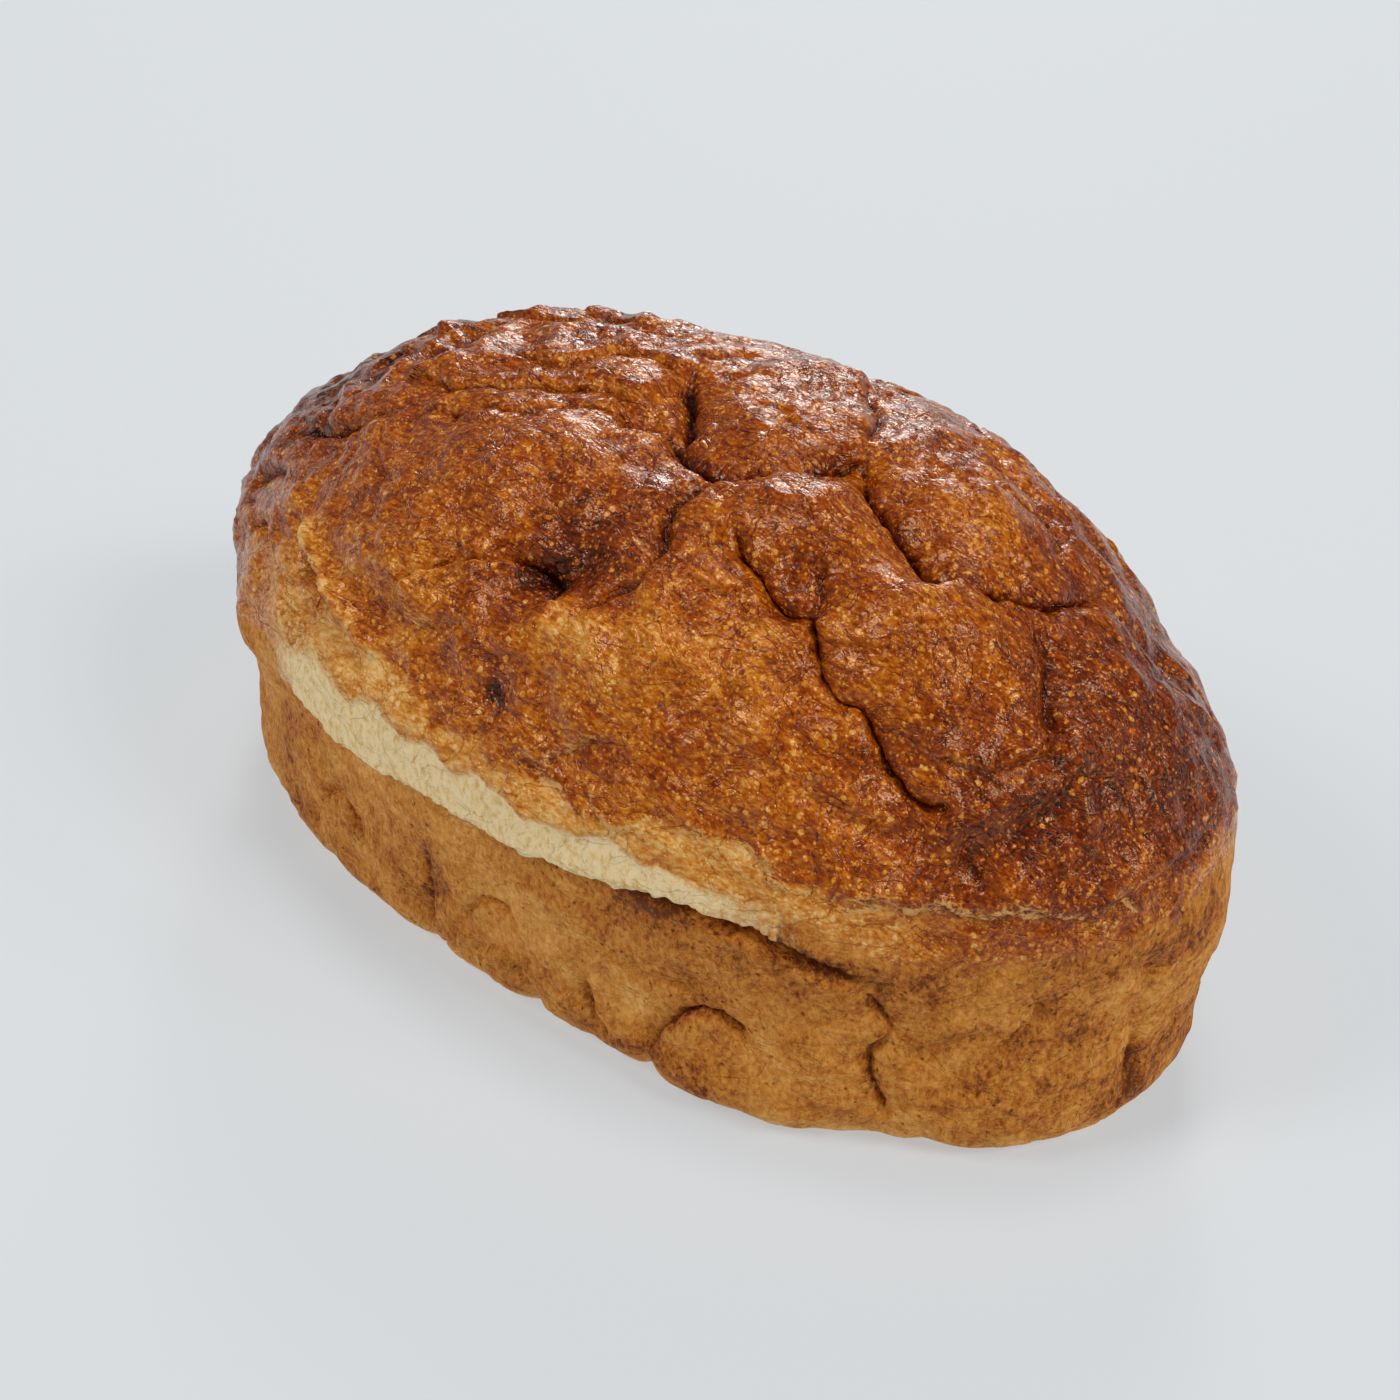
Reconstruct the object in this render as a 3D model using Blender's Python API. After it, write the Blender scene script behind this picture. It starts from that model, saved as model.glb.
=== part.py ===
"""Corn bread: one uncut oval tin loaf with a wrinkled, burst top crust, standing on its flat base.

Metres, +Z up. The length runs along X and the flat base lies on z = 0, centred on the origin.
"""
import bpy
import bmesh
import numpy as np
from mathutils import Vector, noise

MM = 0.001

# Tin-shaped lower part
BASE_HALF_LENGTH = 118.6 * MM
BASE_HALF_WIDTH = 63.3 * MM
TIN_FLARE = 3.2 * MM
TIN_HEIGHT = 46.0 * MM
EDGE_RADIUS = 10.0 * MM
BASE_ROUNDNESS = 2.35

# Risen top
LOAF_HEIGHT = 113.0 * MM
SHOULDER = 12.0 * MM
SHOULDER_ROUND = 6.0 * MM
SHOULDER_CUT = 0.9 * MM
OVERHANG = 4.0 * MM
SWELL_START = 28.0 * MM
TOP_ROUNDNESS = 2.0
DOME_FULLNESS = 3.3
DOME_FALL = 1.262
LEAN_TO_RIGHT = 0.125
LEAN_TO_BACK = 0.04
CAP_SHARE = 0.72

# Dense grid on the box before shaping, and the triangle count kept
GRID_LENGTH = 150
GRID_WIDTH = 110
GRID_HEIGHT = 84
KEPT_TRIANGLES = 11600

# Creases and steps of the top skin: points in millimetres, then depth and half width of the
# groove (a depth below zero is a ridge), rise of the skin on the lip side, fall of the skin on
# the other side, the side of the lip (+1 left of the run) and how far the lip leans over
FOLDS = {
    "behind_left_lobe": (
        [(-52, -30, 102), (-41, -29, 105), (-32, -26, 107), (-24, -24, 109), (-14, -16, 111),
         (-7, -13, 112), (0, -12, 113), (9, -14, 113), (20, -17, 113), (27, -20, 113)],
        1.6, 1.6, 1.4, -0.7, 1, 0.6),
    "cleft_beside_left_lobe": (
        [(-12, -12, 112), (-4, -11, 112), (3, -11, 113), (12, -14, 113), (20, -16, 113),
         (26, -19, 113), (27, -22, 112)],
        4.0, 1.9, 0.8, -1.0, 1, 1.0),
    "terrace_behind_left_lobe": (
        [(-66, -23, 101), (-58, -20, 103), (-48, -22, 106), (-37, -18, 108), (-28, -14, 110),
         (-20, -9, 111), (-12, -7, 112), (-5, -7, 113)],
        1.0, 2.2, 2.3, 0.9, 1, 0.9),
    "second_terrace": (
        [(-48, -5, 108), (-40, -7, 109), (-33, -7, 110), (-30, -1, 111), (-28, 5, 111),
         (-20, 6, 112), (-11, 5, 113), (-6, 4, 113)],
        1.1, 2.0, 2.0, 1.0, 1, 0.7),
    "terrace_cross_1": (
        [(-60, -18, 103), (-55, -11, 105), (-57, -3, 105), (-52, 4, 106)],
        1.3, 1.6, 1.0, 0.5, -1, 0.5),
    "terrace_cross_2": (
        [(-38, 2, 109), (-33, 9, 109), (-38, 17, 108), (-36, 24, 106)],
        1.4, 1.8, 1.0, 0.5, -1, 0.4),
    "big_lobe_crease": (
        [(-46, -24, 105), (-38, -30, 105), (-28, -31, 107), (-20, -29, 109)],
        0.5, 1.4, 0.7, 0.3, 1, 0.3),
    "front_lobe_crease": (
        [(36, -34, 106), (40, -42, 101), (42, -48, 97), (48, -52, 91)],
        0.7, 1.6, 0.8, 0.3, -1, 0.3),
    "front_lobe_wrinkle": (
        [(52, -42, 98), (56, -48, 93), (60, -54, 85), (60, -58, 78)],
        0.7, 1.6, 0.8, 0.3, 1, 0.3),
    "above_crumb_wrinkle": (
        [(-20, -62, 79), (-12, -61, 82), (-4, -60, 84), (4, -60, 84)],
        0.5, 1.6, 0.8, 0.3, 1, 0.2),
    "plateau_cleft": (
        [(-10, 9, 113), (-8, 6, 113), (-4, 2, 113), (1, -3, 113), (5, -7, 113), (9, -12, 113)],
        3.6, 1.7, 1.0, 0.2, 1, 0.9),
    "plateau_back_cleft": (
        [(-9, 7, 113), (-11, 13, 113), (-9, 19, 112), (-5, 26, 112)],
        1.4, 2.0, 1.2, 0.2, -1, 0.3),
    "plateau_front_edge": (
        [(24, -19, 113), (28, -13, 113), (32, -9, 113), (34, -4, 113), (36, 3, 113), (39, 8, 113)],
        2.8, 1.8, 2.2, 0.6, 1, 1.6),
    "plateau_right_edge": (
        [(14, 34, 110), (22, 26, 113), (30, 19, 114), (38, 7, 114)],
        1.5, 1.5, 0.8, 0.5, -1, 0.4),
    "right_of_middle_lobe": (
        [(36, 9, 113), (42, 4, 113), (47, 0, 113), (53, -3, 113), (60, -7, 112), (67, -9, 110),
         (76, -11, 107)],
        5.0, 1.9, 1.6, 0.2, 1, 1.6),
    "middle_lobe_rim": (
        [(28, -15, 113), (33, -12, 113), (40, -9, 114), (49, -8, 113), (59, -10, 112),
         (66, -11, 110), (73, -13, 107)],
        1.7, 1.4, 1.7, 0.9, -1, 0.6),
    "left_of_middle_lobe": (
        [(26, -18, 113), (24, -24, 112), (24, -29, 110), (25, -34, 108), (27, -38, 106),
         (30, -42, 103)],
        3.2, 2.0, 1.8, -0.6, 1, 0.6),
    "hollow_right_edge": (
        [(28, -38, 105), (29, -42, 103), (29, -45, 101), (26, -48, 98), (22, -52, 95), (18, -54, 93)],
        1.7, 1.4, 1.2, 0.8, 1, 0.5),
    "front_lobe_edge": (
        [(-24, -60, 82), (-18, -57, 87), (-14, -55, 90), (-9, -53, 93), (-4, -52, 95), (0, -51, 96),
         (5, -51, 96)],
        1.3, 1.1, 1.3, 0.9, -1, 0.8),
    "front_hollow_pit": (
        [(-5, -52, 95), (0, -51, 96), (5, -51, 96), (10, -52, 95), (15, -54, 93)],
        3.2, 2.0, 1.4, 1.0, -1, 1.4),
    "long_front_fold": (
        [(35, -26, 110), (39, -28, 109), (45, -31, 108), (50, -32, 106), (56, -33, 104),
         (61, -31, 104), (64, -33, 101), (68, -36, 97), (73, -37, 94), (78, -36, 93),
         (82, -37, 89), (87, -38, 84), (93, -37, 80), (99, -33, 78)],
        4.2, 1.4, 1.8, 0.6, 1, 1.9),
    "upper_front_fold": (
        [(55, -21, 109), (57, -25, 108), (60, -28, 106), (61, -32, 104)],
        1.8, 1.4, 0.8, 0.3, 1, 0.3),
    "below_long_fold": (
        [(69, -38, 95), (74, -40, 92), (79, -41, 87), (83, -43, 82), (84, -44, 78)],
        -1.1, 2.6, 0.0, 0.8, 1, 0.0),
    "right_end_fold": (
        [(77, -9, 106), (80, -4, 106), (84, 2, 104), (86, 9, 102), (86, 17, 99), (83, 27, 96)],
        4.6, 1.4, 1.8, 0.8, 1, 2.2),
    "right_soft_valley": (
        [(88, 1, 102), (92, -4, 100), (96, -7, 97), (100, -11, 93), (105, -16, 86)],
        2.2, 2.4, 1.0, 0.4, -1, 0.2),
    "right_notch": (
        [(92, 16, 96), (97, 22, 91), (100, 27, 86), (101, 32, 80)],
        3.0, 2.0, 1.4, 0.5, -1, 0.6),
    "right_flaky_ridge": (
        [(88, -33, 88), (93, -31, 86), (99, -27, 85), (103, -19, 86), (105, -12, 88)],
        1.0, 1.3, 1.4, 0.8, 1, 0.4),
    "right_low_ridge": (
        [(93, -39, 73), (98, -36, 75), (102, -30, 78), (105, -24, 81), (107, -19, 82),
         (107, -14, 85), (105, -8, 89)],
        -3.4, 2.8, 0.0, 1.6, 1, 0.0),
    "right_end_ridge": (
        [(107, -12, 87), (111, -15, 80), (114, -18, 74), (116, -20, 69)],
        -2.5, 2.4, 0.0, 0.8, 1, 0.0),
    "right_side_crack": (
        [(101, -34, 75), (103, -35, 71), (105, -35, 67), (107, -34, 64)],
        1.8, 1.3, 0.5, 0.3, 1, 0.3),
    "right_side_valley": (
        [(70, -54, 78), (76, -50, 79), (82, -47, 75), (88, -44, 74), (96, -39, 74)],
        1.6, 3.0, 0.9, 0.3, 1, 0.2),
    "left_pale_ridge": (
        [(-64, -50, 81), (-56, -55, 78), (-48, -58, 77), (-41, -60, 76), (-35, -63, 74),
         (-30, -64, 72), (-21, -66, 71)],
        -3.4, 1.9, 1.2, 1.3, 1, 0.0),
    "left_pale_crease": (
        [(-70, -46, 80), (-64, -50, 79), (-58, -55, 76), (-51, -58, 75), (-46, -61, 72),
         (-40, -64, 68)],
        2.2, 1.6, 0.6, 0.4, 1, 0.6),
    "left_shoulder_fold": (
        [(-92, -30, 83), (-84, -32, 87), (-75, -34, 90), (-68, -33, 94), (-64, -30, 98)],
        1.8, 1.7, 1.4, 0.6, 1, 0.6),
    "left_shoulder_dent": (
        [(-60, -36, 95), (-62, -42, 90), (-64, -46, 85), (-66, -49, 80)],
        1.2, 3.5, 0.6, 0.2, 1, 0.0),
    "left_end_wrinkle_1": (
        [(-98, -36, 68), (-92, -38, 75), (-86, -40, 79), (-80, -43, 80)],
        1.7, 1.7, 1.2, 0.5, 1, 0.4),
    "left_end_wrinkle_2": (
        [(-88, -46, 66), (-82, -47, 71), (-76, -51, 71), (-70, -54, 69)],
        1.5, 1.5, 1.0, 0.5, 1, 0.4),
    "back_left_fold_1": (
        [(-88, -12, 91), (-80, -8, 96), (-70, -10, 99), (-62, -13, 102), (-54, -12, 105)],
        0.6, 2.4, 1.5, 0.7, 1, 0.2),
    "back_left_fold_2": (
        [(-92, 2, 89), (-84, 4, 94), (-74, 2, 98), (-64, 0, 102), (-56, -3, 105)],
        0.7, 2.4, 1.4, 0.7, 1, 0.2),
    "back_left_fold_3": (
        [(-78, 14, 96), (-68, 11, 100), (-58, 10, 104), (-50, 13, 105), (-42, 11, 108)],
        0.7, 2.6, 1.5, 0.7, 1, 0.2),
    "back_left_fold_4": (
        [(-64, 26, 99), (-54, 23, 103), (-44, 25, 105), (-36, 20, 108), (-26, 22, 109)],
        0.6, 2.8, 1.2, 0.6, 1, 0.2),
    "back_left_fold_5": (
        [(-104, -14, 78), (-98, -8, 84), (-92, -6, 88)],
        1.0, 2.2, 0.9, 0.4, 1, 0.2),
    "back_ridge_cut": (
        [(-24, 8, 111), (-20, 14, 110), (-20, 22, 109), (-24, 28, 107)],
        1.7, 2.2, 0.8, 0.3, -1, 0.3),
    "back_right_fold": (
        [(46, 32, 108), (56, 28, 108), (66, 26, 106), (76, 20, 104), (84, 12, 103)],
        1.4, 2.4, 1.0, 0.5, 1, 0.4),
    "back_right_line": (
        [(44, 14, 112), (54, 12, 111), (64, 8, 109), (72, 2, 108)],
        0.7, 1.6, 0.6, 0.4, 1, 0.2),
    "back_middle_fold": (
        [(-2, 44, 103), (8, 38, 108), (18, 34, 110), (26, 30, 111)],
        1.6, 2.2, 1.0, 0.4, -1, 0.4),
    "back_left_dent": (
        [(-90, 24, 84), (-78, 34, 88), (-64, 40, 90), (-48, 44, 93)],
        1.6, 2.6, 0.8, 0.4, 1, 0.2),
    "back_side_fold": (
        [(-20, 56, 84), (-6, 52, 92), (8, 54, 90), (22, 54, 88), (34, 57, 80)],
        2.0, 1.8, 1.2, 0.7, 1, 0.8),
    "back_side_wrinkle": (
        [(48, 54, 78), (60, 48, 84), (72, 42, 86), (84, 34, 84)],
        1.5, 1.8, 1.0, 0.5, 1, 0.5),
}
# Seams of the tin side where lobes of dough met, in the same order of values
SIDE_SEAMS = {
    "front_crack": (
        [(86, -47, 43), (90, -45, 38), (92, -44, 31), (90, -46, 24), (91, -45, 17), (95, -43, 7)],
        2.6, 1.2, 0.6, 0.4, -1, 0.6),
    "lobe_arc": (
        [(46, -60, 8), (50, -60, 16), (56, -59, 22), (62, -57, 25), (67, -56, 23), (70, -55, 18)],
        2.2, 1.1, 1.0, 0.4, -1, 0.7),
    "small_ring": (
        [(46, -61, 22), (49, -60, 27), (54, -60, 29), (58, -59, 27), (60, -58, 23)],
        0.9, 1.1, 0.5, 0.2, -1, 0.2),
    "left_arc_high": (
        [(-4, -65, 14), (1, -65, 21), (6, -65, 26), (13, -65, 27), (18, -65, 22)],
        1.5, 1.1, 0.8, 0.3, -1, 0.4),
    "left_arc_low": (
        [(-3, -64, 6), (1, -64, 12), (7, -65, 15), (13, -65, 14), (17, -64, 9)],
        0.9, 1.2, 0.6, 0.2, -1, 0.3),
    "far_left_arc": (
        [(-58, -58, 10), (-52, -60, 20), (-46, -61, 26), (-38, -62, 24), (-34, -62, 16)],
        1.0, 1.6, 0.7, 0.3, -1, 0.3),
    "left_groove": (
        [(-12, -65, 32), (-12, -65, 24), (-13, -64, 16), (-16, -64, 6)],
        1.5, 1.4, 0.6, 0.2, 1, 0.3),
    "middle_groove": (
        [(30, -63, 26), (33, -63, 18), (35, -62, 12), (39, -62, 5)],
        1.8, 1.3, 0.7, 0.3, 1, 0.4),
    "right_slant": (
        [(105, -31, 28), (109, -28, 33), (112, -26, 38), (114, -23, 42), (117, -19, 44),
         (120, -15, 46)],
        2.0, 1.3, 0.9, 0.4, 1, 0.5),
    "right_oval": (
        [(98, -38, 30), (102, -35, 34), (106, -32, 34), (108, -30, 30)],
        0.8, 1.4, 0.5, 0.2, 1, 0.2),
    "end_groove": (
        [(123, -5, 50), (122, -4, 42), (121, -4, 31), (120, -3, 20), (118, -3, 8)],
        1.4, 2.2, 0.8, 0.3, 1, 0.2),
    "end_pinch": (
        [(117, -26, 58), (120, -20, 59), (121, -14, 62), (123, -6, 63), (123, 2, 64), (122, 12, 64)],
        1.3, 2.0, 1.2, 0.4, 1, 0.5),
    "back_groove_left": (
        [(-60, 56, 40), (-62, 56, 28), (-60, 56, 16), (-56, 56, 6)],
        1.5, 1.8, 0.7, 0.3, 1, 0.3),
    "back_groove_right": (
        [(48, 60, 36), (50, 59, 24), (47, 60, 14), (50, 59, 5)],
        1.5, 1.8, 0.7, 0.3, -1, 0.3),
    "back_arc": (
        [(-24, 64, 8), (-18, 65, 20), (-8, 66, 27), (2, 65, 24), (6, 64, 14)],
        1.2, 1.5, 0.8, 0.3, 1, 0.3),
    "far_end_groove": (
        [(-121, 10, 46), (-121, 8, 34), (-120, 10, 22), (-118, 8, 8)],
        1.3, 2.0, 0.6, 0.3, 1, 0.2),
}
# Lines where the brown skin broke and shows a pale torn edge, in the same order of values
TORN_EDGES = {
    "right_torn_edge": (
        [(84, -51, 63), (89, -48, 62), (93, -46, 63), (97, -45, 61), (100, -41, 63),
         (104, -38, 62), (107, -36, 61), (110, -32, 62), (115, -27, 62), (118, -24, 58)],
        0.5, 0.9, 0.9, 0.4, 1, 0.4),
    "slot_torn_edge": (
        [(66, -58, 68), (72, -56, 66), (75, -55, 62), (79, -54, 61), (84, -51, 62)],
        0.4, 0.9, 0.8, 0.3, 1, 0.3),
    "blister_low_edge": (
        [(36, -64, 72), (38, -65, 67), (43, -65, 64), (49, -64, 64), (54, -62, 64)],
        0.4, 0.9, 0.8, 0.3, 1, 0.3),
    "blister_ring": (
        [(38, -63, 73), (41, -61, 75), (46, -60, 74), (48, -61, 71), (46, -63, 67)],
        0.3, 0.9, 0.6, 0.2, -1, 0.2),
    "second_blister": (
        [(53, -62, 68), (57, -60, 68), (62, -59, 66), (66, -58, 67)],
        0.3, 0.9, 0.7, 0.2, 1, 0.2),
    "left_blister": (
        [(18, -65, 71), (21, -66, 69), (25, -66, 69), (27, -66, 67), (25, -68, 64)],
        0.4, 0.9, 0.7, 0.3, 1, 0.2),
    "long_front_step": (
        [(41, -60, 78), (33, -62, 75), (28, -64, 72), (27, -66, 69), (30, -67, 65)],
        0.8, 1.2, 0.8, 0.4, -1, 0.3),
    "orange_flap": (
        [(8, -53, 95), (13, -53, 95), (18, -53, 95), (23, -54, 93), (26, -56, 90)],
        0.0, 1.0, 0.8, 0.4, -1, 0.4),
    "pale_strip": (
        [(44, -4, 113), (52, -7, 113), (58, -9, 112), (64, -11, 111)],
        0.0, 1.0, 0.6, 0.3, -1, 0.2),
}

FOLD_RANGE = 26.0 * MM
FOLD_END = 7.0 * MM
VALLEY_SHARE = 1.2
VALLEY_REACH = 9.0
HIGH_REACH = 9.0
LOW_REACH = 6.0
LEAN_SHARE = 0.6

# Soft swellings and hollows: centre in millimetres, height, reach
SWELLINGS = [
    ((12, -44, 101), -4.0, 10.5),
    ((-18, -34, 106), 2.6, 17.0),
    ((-22, -54, 87), 2.8, 12.0),
    ((44, -19, 112), 3.6, 13.0),
    ((13, 9, 113), 1.6, 12.0),
    ((37, -52, 92), 2.2, 12.0),
    ((62, 14, 109), 1.6, 12.0),
    ((76, -22, 104), 2.6, 12.0),
    ((96, -38, 68), 0.8, 9.0),
    ((60, -50, 84), 0.8, 10.0),
    ((102, 27, 87), -2.2, 8.0),
    ((94, 19, 96), 1.2, 6.0),
    ((36, 44, 102), -0.9, 12.0),
    ((90, 30, 90), -1.2, 16.0),
    ((-80, 4, 98), 0.8, 4.0),
    ((10, -64, 77), -1.2, 3.2),
    ((6, -51, 96), -1.8, 3.2),
    ((-66, -50, 78), 1.6, 9.0),
    ((-98, -18, 86), -1.2, 12.0),
    ((-88, -10, 94), -1.3, 12.0),
    ((-76, 6, 101), -1.4, 13.0),
    ((-78, -55, 50), 3.0, 11.0),
    ((-86, -48, 20), -0.8, 12.0),
    ((-95, -42, 38), 1.2, 10.0),
    ((-30, 26, 109), -0.7, 24.0),
    ((20, 35, 110), -0.8, 18.0),
    ((-88, 20, 86), -2.0, 20.0),
    ((-106, 10, 76), -2.0, 18.0),
    ((-48, 16, 107), 0.9, 13.0),
    ((-44, 36, 100), -1.4, 20.0),
    ((-4, 42, 104), -1.4, 16.0),
    ((10, 33, 111), 0.9, 3.5),
    ((70, 30, 101), -1.6, 13.0),
    ((88, 36, 86), -1.2, 12.0),
    ((117, 21, 67), 1.0, 10.0),
    ((121, 11, 38), 2.8, 13.0),
    ((118, -5, 9), -0.2, 10.0),
    ((74, -52, 4), 0.8, 9.0),
    ((88, -46, 7), -0.6, 8.0),
]

# The tear along the front, in millimetres: place along the length, lower edge of the crumb, edge
# of the crust above it, how open it is, and depth of the slot under the crumb
FRONT_TEAR = [(-126, 47, 54, 0.0, 0), (-98, 45, 53, 0.0, 0), (-86, 45.5, 54, 0.1, 0),
              (-70, 46, 57, 0.1, 0), (-58, 46, 59, 0.3, 0), (-46, 47, 60.5, 0.75, 0),
              (-36, 48, 61.5, 1.0, 0),
              (-15, 50, 62, 1.0, 0), (0, 51.5, 61.5, 1.0, 0), (15, 51, 60, 1.0, 0),
              (30, 51, 60, 1.0, 0.6), (45, 52, 61, 0.95, 1.6), (54, 52, 60, 0.65, 2.6),
              (62, 52, 58, 0.45, 3.6), (70, 51, 57, 0.35, 4.6), (76, 49.5, 56, 0.25, 4.8),
              (82, 47, 55, 0.15, 3.6), (88, 44.5, 54, 0.0, 1.6), (96, 42, 55, 0.0, 0),
              (126, 46, 55, 0.0, 0)]
SKIN_EDGE = [(-95, 62), (-79, 69), (-52, 70), (-34, 71), (-11, 69), (17, 67), (33, 66), (46, 64.5),
             (52, 67), (57, 69), (70, 68), (76, 63.5), (90, 60), (97, 62), (107, 63), (120, 60)]
BACK_TEAR = [(-126, 50, 58, 0.0, 0), (-90, 50, 58, 0.15, 0), (-40, 51, 58, 0.5, 1.0),
             (0, 50, 58, 0.6, 2.0), (40, 50, 57, 0.5, 1.0), (80, 51, 58, 0.25, 0),
             (126, 50, 58, 0.0, 0)]
TEAR_STEP = 1.2 * MM
TEAR_HOLLOW = 3.0 * MM
CRUST_LIP = 0.9 * MM
TEAR_DROP = 1.6 * MM
SLOT_RIM = 1.6 * MM
SLOT_SINK = 0.35 * MM
SLOT_RETREAT = 0.4 * MM
FLAKE_STEP = 0.55 * MM

# Notches and undercuts of the lower edge: place along the length in millimetres, side (-1 front,
# +1 back), depth, half width and, for notches, height
NOTCHES = [(-17, -1, 1.8, 3.5, 16), (14, -1, 2.8, 3.5, 16), (29, -1, 2.0, 9.0, 12),
           (44, -1, 3.2, 2.4, 16), (90, -1, 4.0, 9.0, 12), (98, -1, 2.4, 3.0, 13),
           (-52, -1, 1.2, 4.0, 14), (-70, 1, 1.8, 4.0, 14), (-28, 1, 2.2, 4.0, 16),
           (22, 1, 1.8, 3.5, 14), (60, 1, 2.2, 4.0, 16), (100, 1, 1.4, 4.0, 12)]
UNDERCUTS = [(0, -1, 0.8, 26), (56, -1, -1.0, 10), (-10, 1, 1.6, 30)]
UNDERCUT_HEIGHT = 20.0 * MM

# Heights where the folds of the top and the tear begin, and how softly
TOP_FROM = 58.0 * MM
TOP_BLEND = 12.0 * MM
TEAR_FROM = 20.0 * MM
TEAR_BLEND = 10.0 * MM

# Middle and half sizes of the part of the top with the most terraces, in millimetres
TERRACES_AT = (-66.0, 6.0, 98.0)
TERRACES_SIZE = (46.0, 40.0, 30.0)

# Lumps of the top skin: size in millimetres, height, seed; and the ridges between them
LUMPS = [(24.0, 1.0, 1), (10.0, 0.9, 2), (5.0, 0.4, 9)]
RIDGE_SIZE = 15.0 * MM
RIDGE_DEPTH = 3.0
RIDGE_MEAN = 0.6
RIDGE_SHARE = 0.6
TERRACE_SHARE = 0.8

CRUST_COLOUR = (0.36, 0.15, 0.045, 1.0)
CRUST_ROUGHNESS = 0.5


def smooth(value):
    value = np.clip(value, 0.0, 1.0)
    return value * value * (3.0 - 2.0 * value)


def gridded_box(cuts_length, cuts_width, cuts_height):
    bm = bmesh.new()
    bmesh.ops.create_cube(bm, size=2.0)
    for axis, cuts in enumerate((cuts_length, cuts_width, cuts_height)):
        along = [e for e in bm.edges if abs((e.verts[0].co - e.verts[1].co)[axis]) > 1.0]
        bmesh.ops.subdivide_edges(bm, edges=along, cuts=cuts - 1, use_grid_fill=True)
    return bm


def outline(angle, roundness):
    c = np.abs(np.cos(angle)) ** roundness
    s = np.abs(np.sin(angle)) ** roundness
    return (c + s) ** (-1.0 / roundness)


def loaf_form(box):
    """The smooth loaf: tin-shaped wall with a rounded foot, shoulder and dome."""
    x, y, z = box.T
    u = x * np.sqrt(1.0 - y * y / 2.0)
    v = y * np.sqrt(1.0 - x * x / 2.0)
    on_lid = np.abs(z) > 0.9999
    rho = np.where(on_lid, np.hypot(u, v), 1.0)
    angle = np.arctan2(v, u)
    cos, sin = np.cos(angle), np.sin(angle)
    run = (z + 1.0) / 2.0
    foot_share, wall_share = 0.125, 0.55
    wall_top = TIN_HEIGHT + SHOULDER

    foot = np.clip(run / foot_share, 0.0, 1.0) * np.pi / 2.0
    inset = EDGE_RADIUS * (1.0 - np.sin(foot))
    wall = np.clip((run - foot_share) / (wall_share - foot_share), 0.0, 1.0)
    height = EDGE_RADIUS * (1.0 - np.cos(foot)) + (wall_top - EDGE_RADIUS) * wall
    up = np.clip(height / TIN_HEIGHT, 0.0, 1.0)
    roundness = BASE_ROUNDNESS + (TOP_ROUNDNESS - BASE_ROUNDNESS) * up
    swell = OVERHANG * smooth((height - SWELL_START) / (wall_top - SWELL_START))
    grow = TIN_FLARE * up - inset + swell
    q = outline(angle, roundness)
    side = np.stack([cos * q * (BASE_HALF_LENGTH + grow),
                     sin * q * (BASE_HALF_WIDTH + grow), height], -1)
    side[on_lid & (z < 0)] *= rho[on_lid & (z < 0), None] * np.array([1.0, 1.0, 0.0])

    cap_angle = np.arccos(CAP_SHARE)
    climb = np.clip((run - wall_share) / (1.0 - wall_share), 0.0, 1.0)
    r = np.where(on_lid, rho * CAP_SHARE, np.cos(cap_angle * climb ** 0.75))
    q = outline(angle, TOP_ROUNDNESS)
    px, py = cos * q * r, sin * q * r
    rise = np.clip(1.0 - r ** DOME_FULLNESS, 0.0, 1.0) ** (1.0 / DOME_FALL)
    rise = (LOAF_HEIGHT - wall_top) * rise * (1.0 + LEAN_TO_RIGHT * px + LEAN_TO_BACK * py)
    dome = np.stack([px * (BASE_HALF_LENGTH + TIN_FLARE + OVERHANG),
                     py * (BASE_HALF_WIDTH + TIN_FLARE + OVERHANG), wall_top + rise], -1)
    is_dome = (run > wall_share) | (on_lid & (z > 0))
    return np.where(is_dome[:, None], dome, side), rho * (z < -0.9999) + (z >= -0.9999)


def vertex_normals(bm, points):
    for vert, point in zip(bm.verts, points):
        vert.co = point
    bm.normal_update()
    return np.array([v.normal for v in bm.verts])


def smooth_line(points, steps=6):
    p = np.array(points, float) * MM
    ends = np.vstack([2 * p[0] - p[1], p, 2 * p[-1] - p[-2]])
    line = []
    for i in range(len(p) - 1):
        a, b, c, d = ends[i:i + 4]
        for t in np.linspace(0, 1, steps, endpoint=False):
            line.append(0.5 * (2 * b + (c - a) * t + (2 * a - 5 * b + 4 * c - d) * t ** 2
                               + (3 * b - a - 3 * c + d) * t ** 3))
    line.append(p[-1])
    return np.array(line)


def beside_line(points, normals, line):
    """Signed distance to the line (+ to its left), length before and after, way to its left."""
    best = np.full(len(points), 1e9)
    signed = np.zeros(len(points))
    done = np.zeros(len(points))
    left = np.zeros((len(points), 3))
    lengths = np.linalg.norm(np.diff(line, axis=0), axis=1)
    before = 0.0
    for start, end, length in zip(line[:-1], line[1:], lengths):
        run = (end - start) / length
        t = np.clip((points - start) @ run / length, 0.0, 1.0)
        gap = points - (start + t[:, None] * (end - start))
        across = np.cross(normals, run)
        distance = np.linalg.norm(gap, axis=1)
        near = distance < best
        best[near] = distance[near]
        signed[near] = distance[near] * np.sign((gap * across).sum(1))[near]
        done[near] = (before + t * length)[near]
        left[near] = across[near]
        before += length
    return signed, done, before - done, left


def wavy(points, size, seed):
    shift = Vector((seed * 7.13, seed * 3.71, seed * 5.39))
    return np.array([noise.noise(Vector(p) + shift) for p in points / size])


def bent(points):
    """The points with a small waver, so that lines drawn through them run unevenly."""
    waver = [1.5 * wavy(points, 9 * MM, 30 + k) + 0.7 * wavy(points, 3.2 * MM, 34 + k)
             for k in range(3)]
    return points + np.stack(waver, -1) * MM


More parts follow.
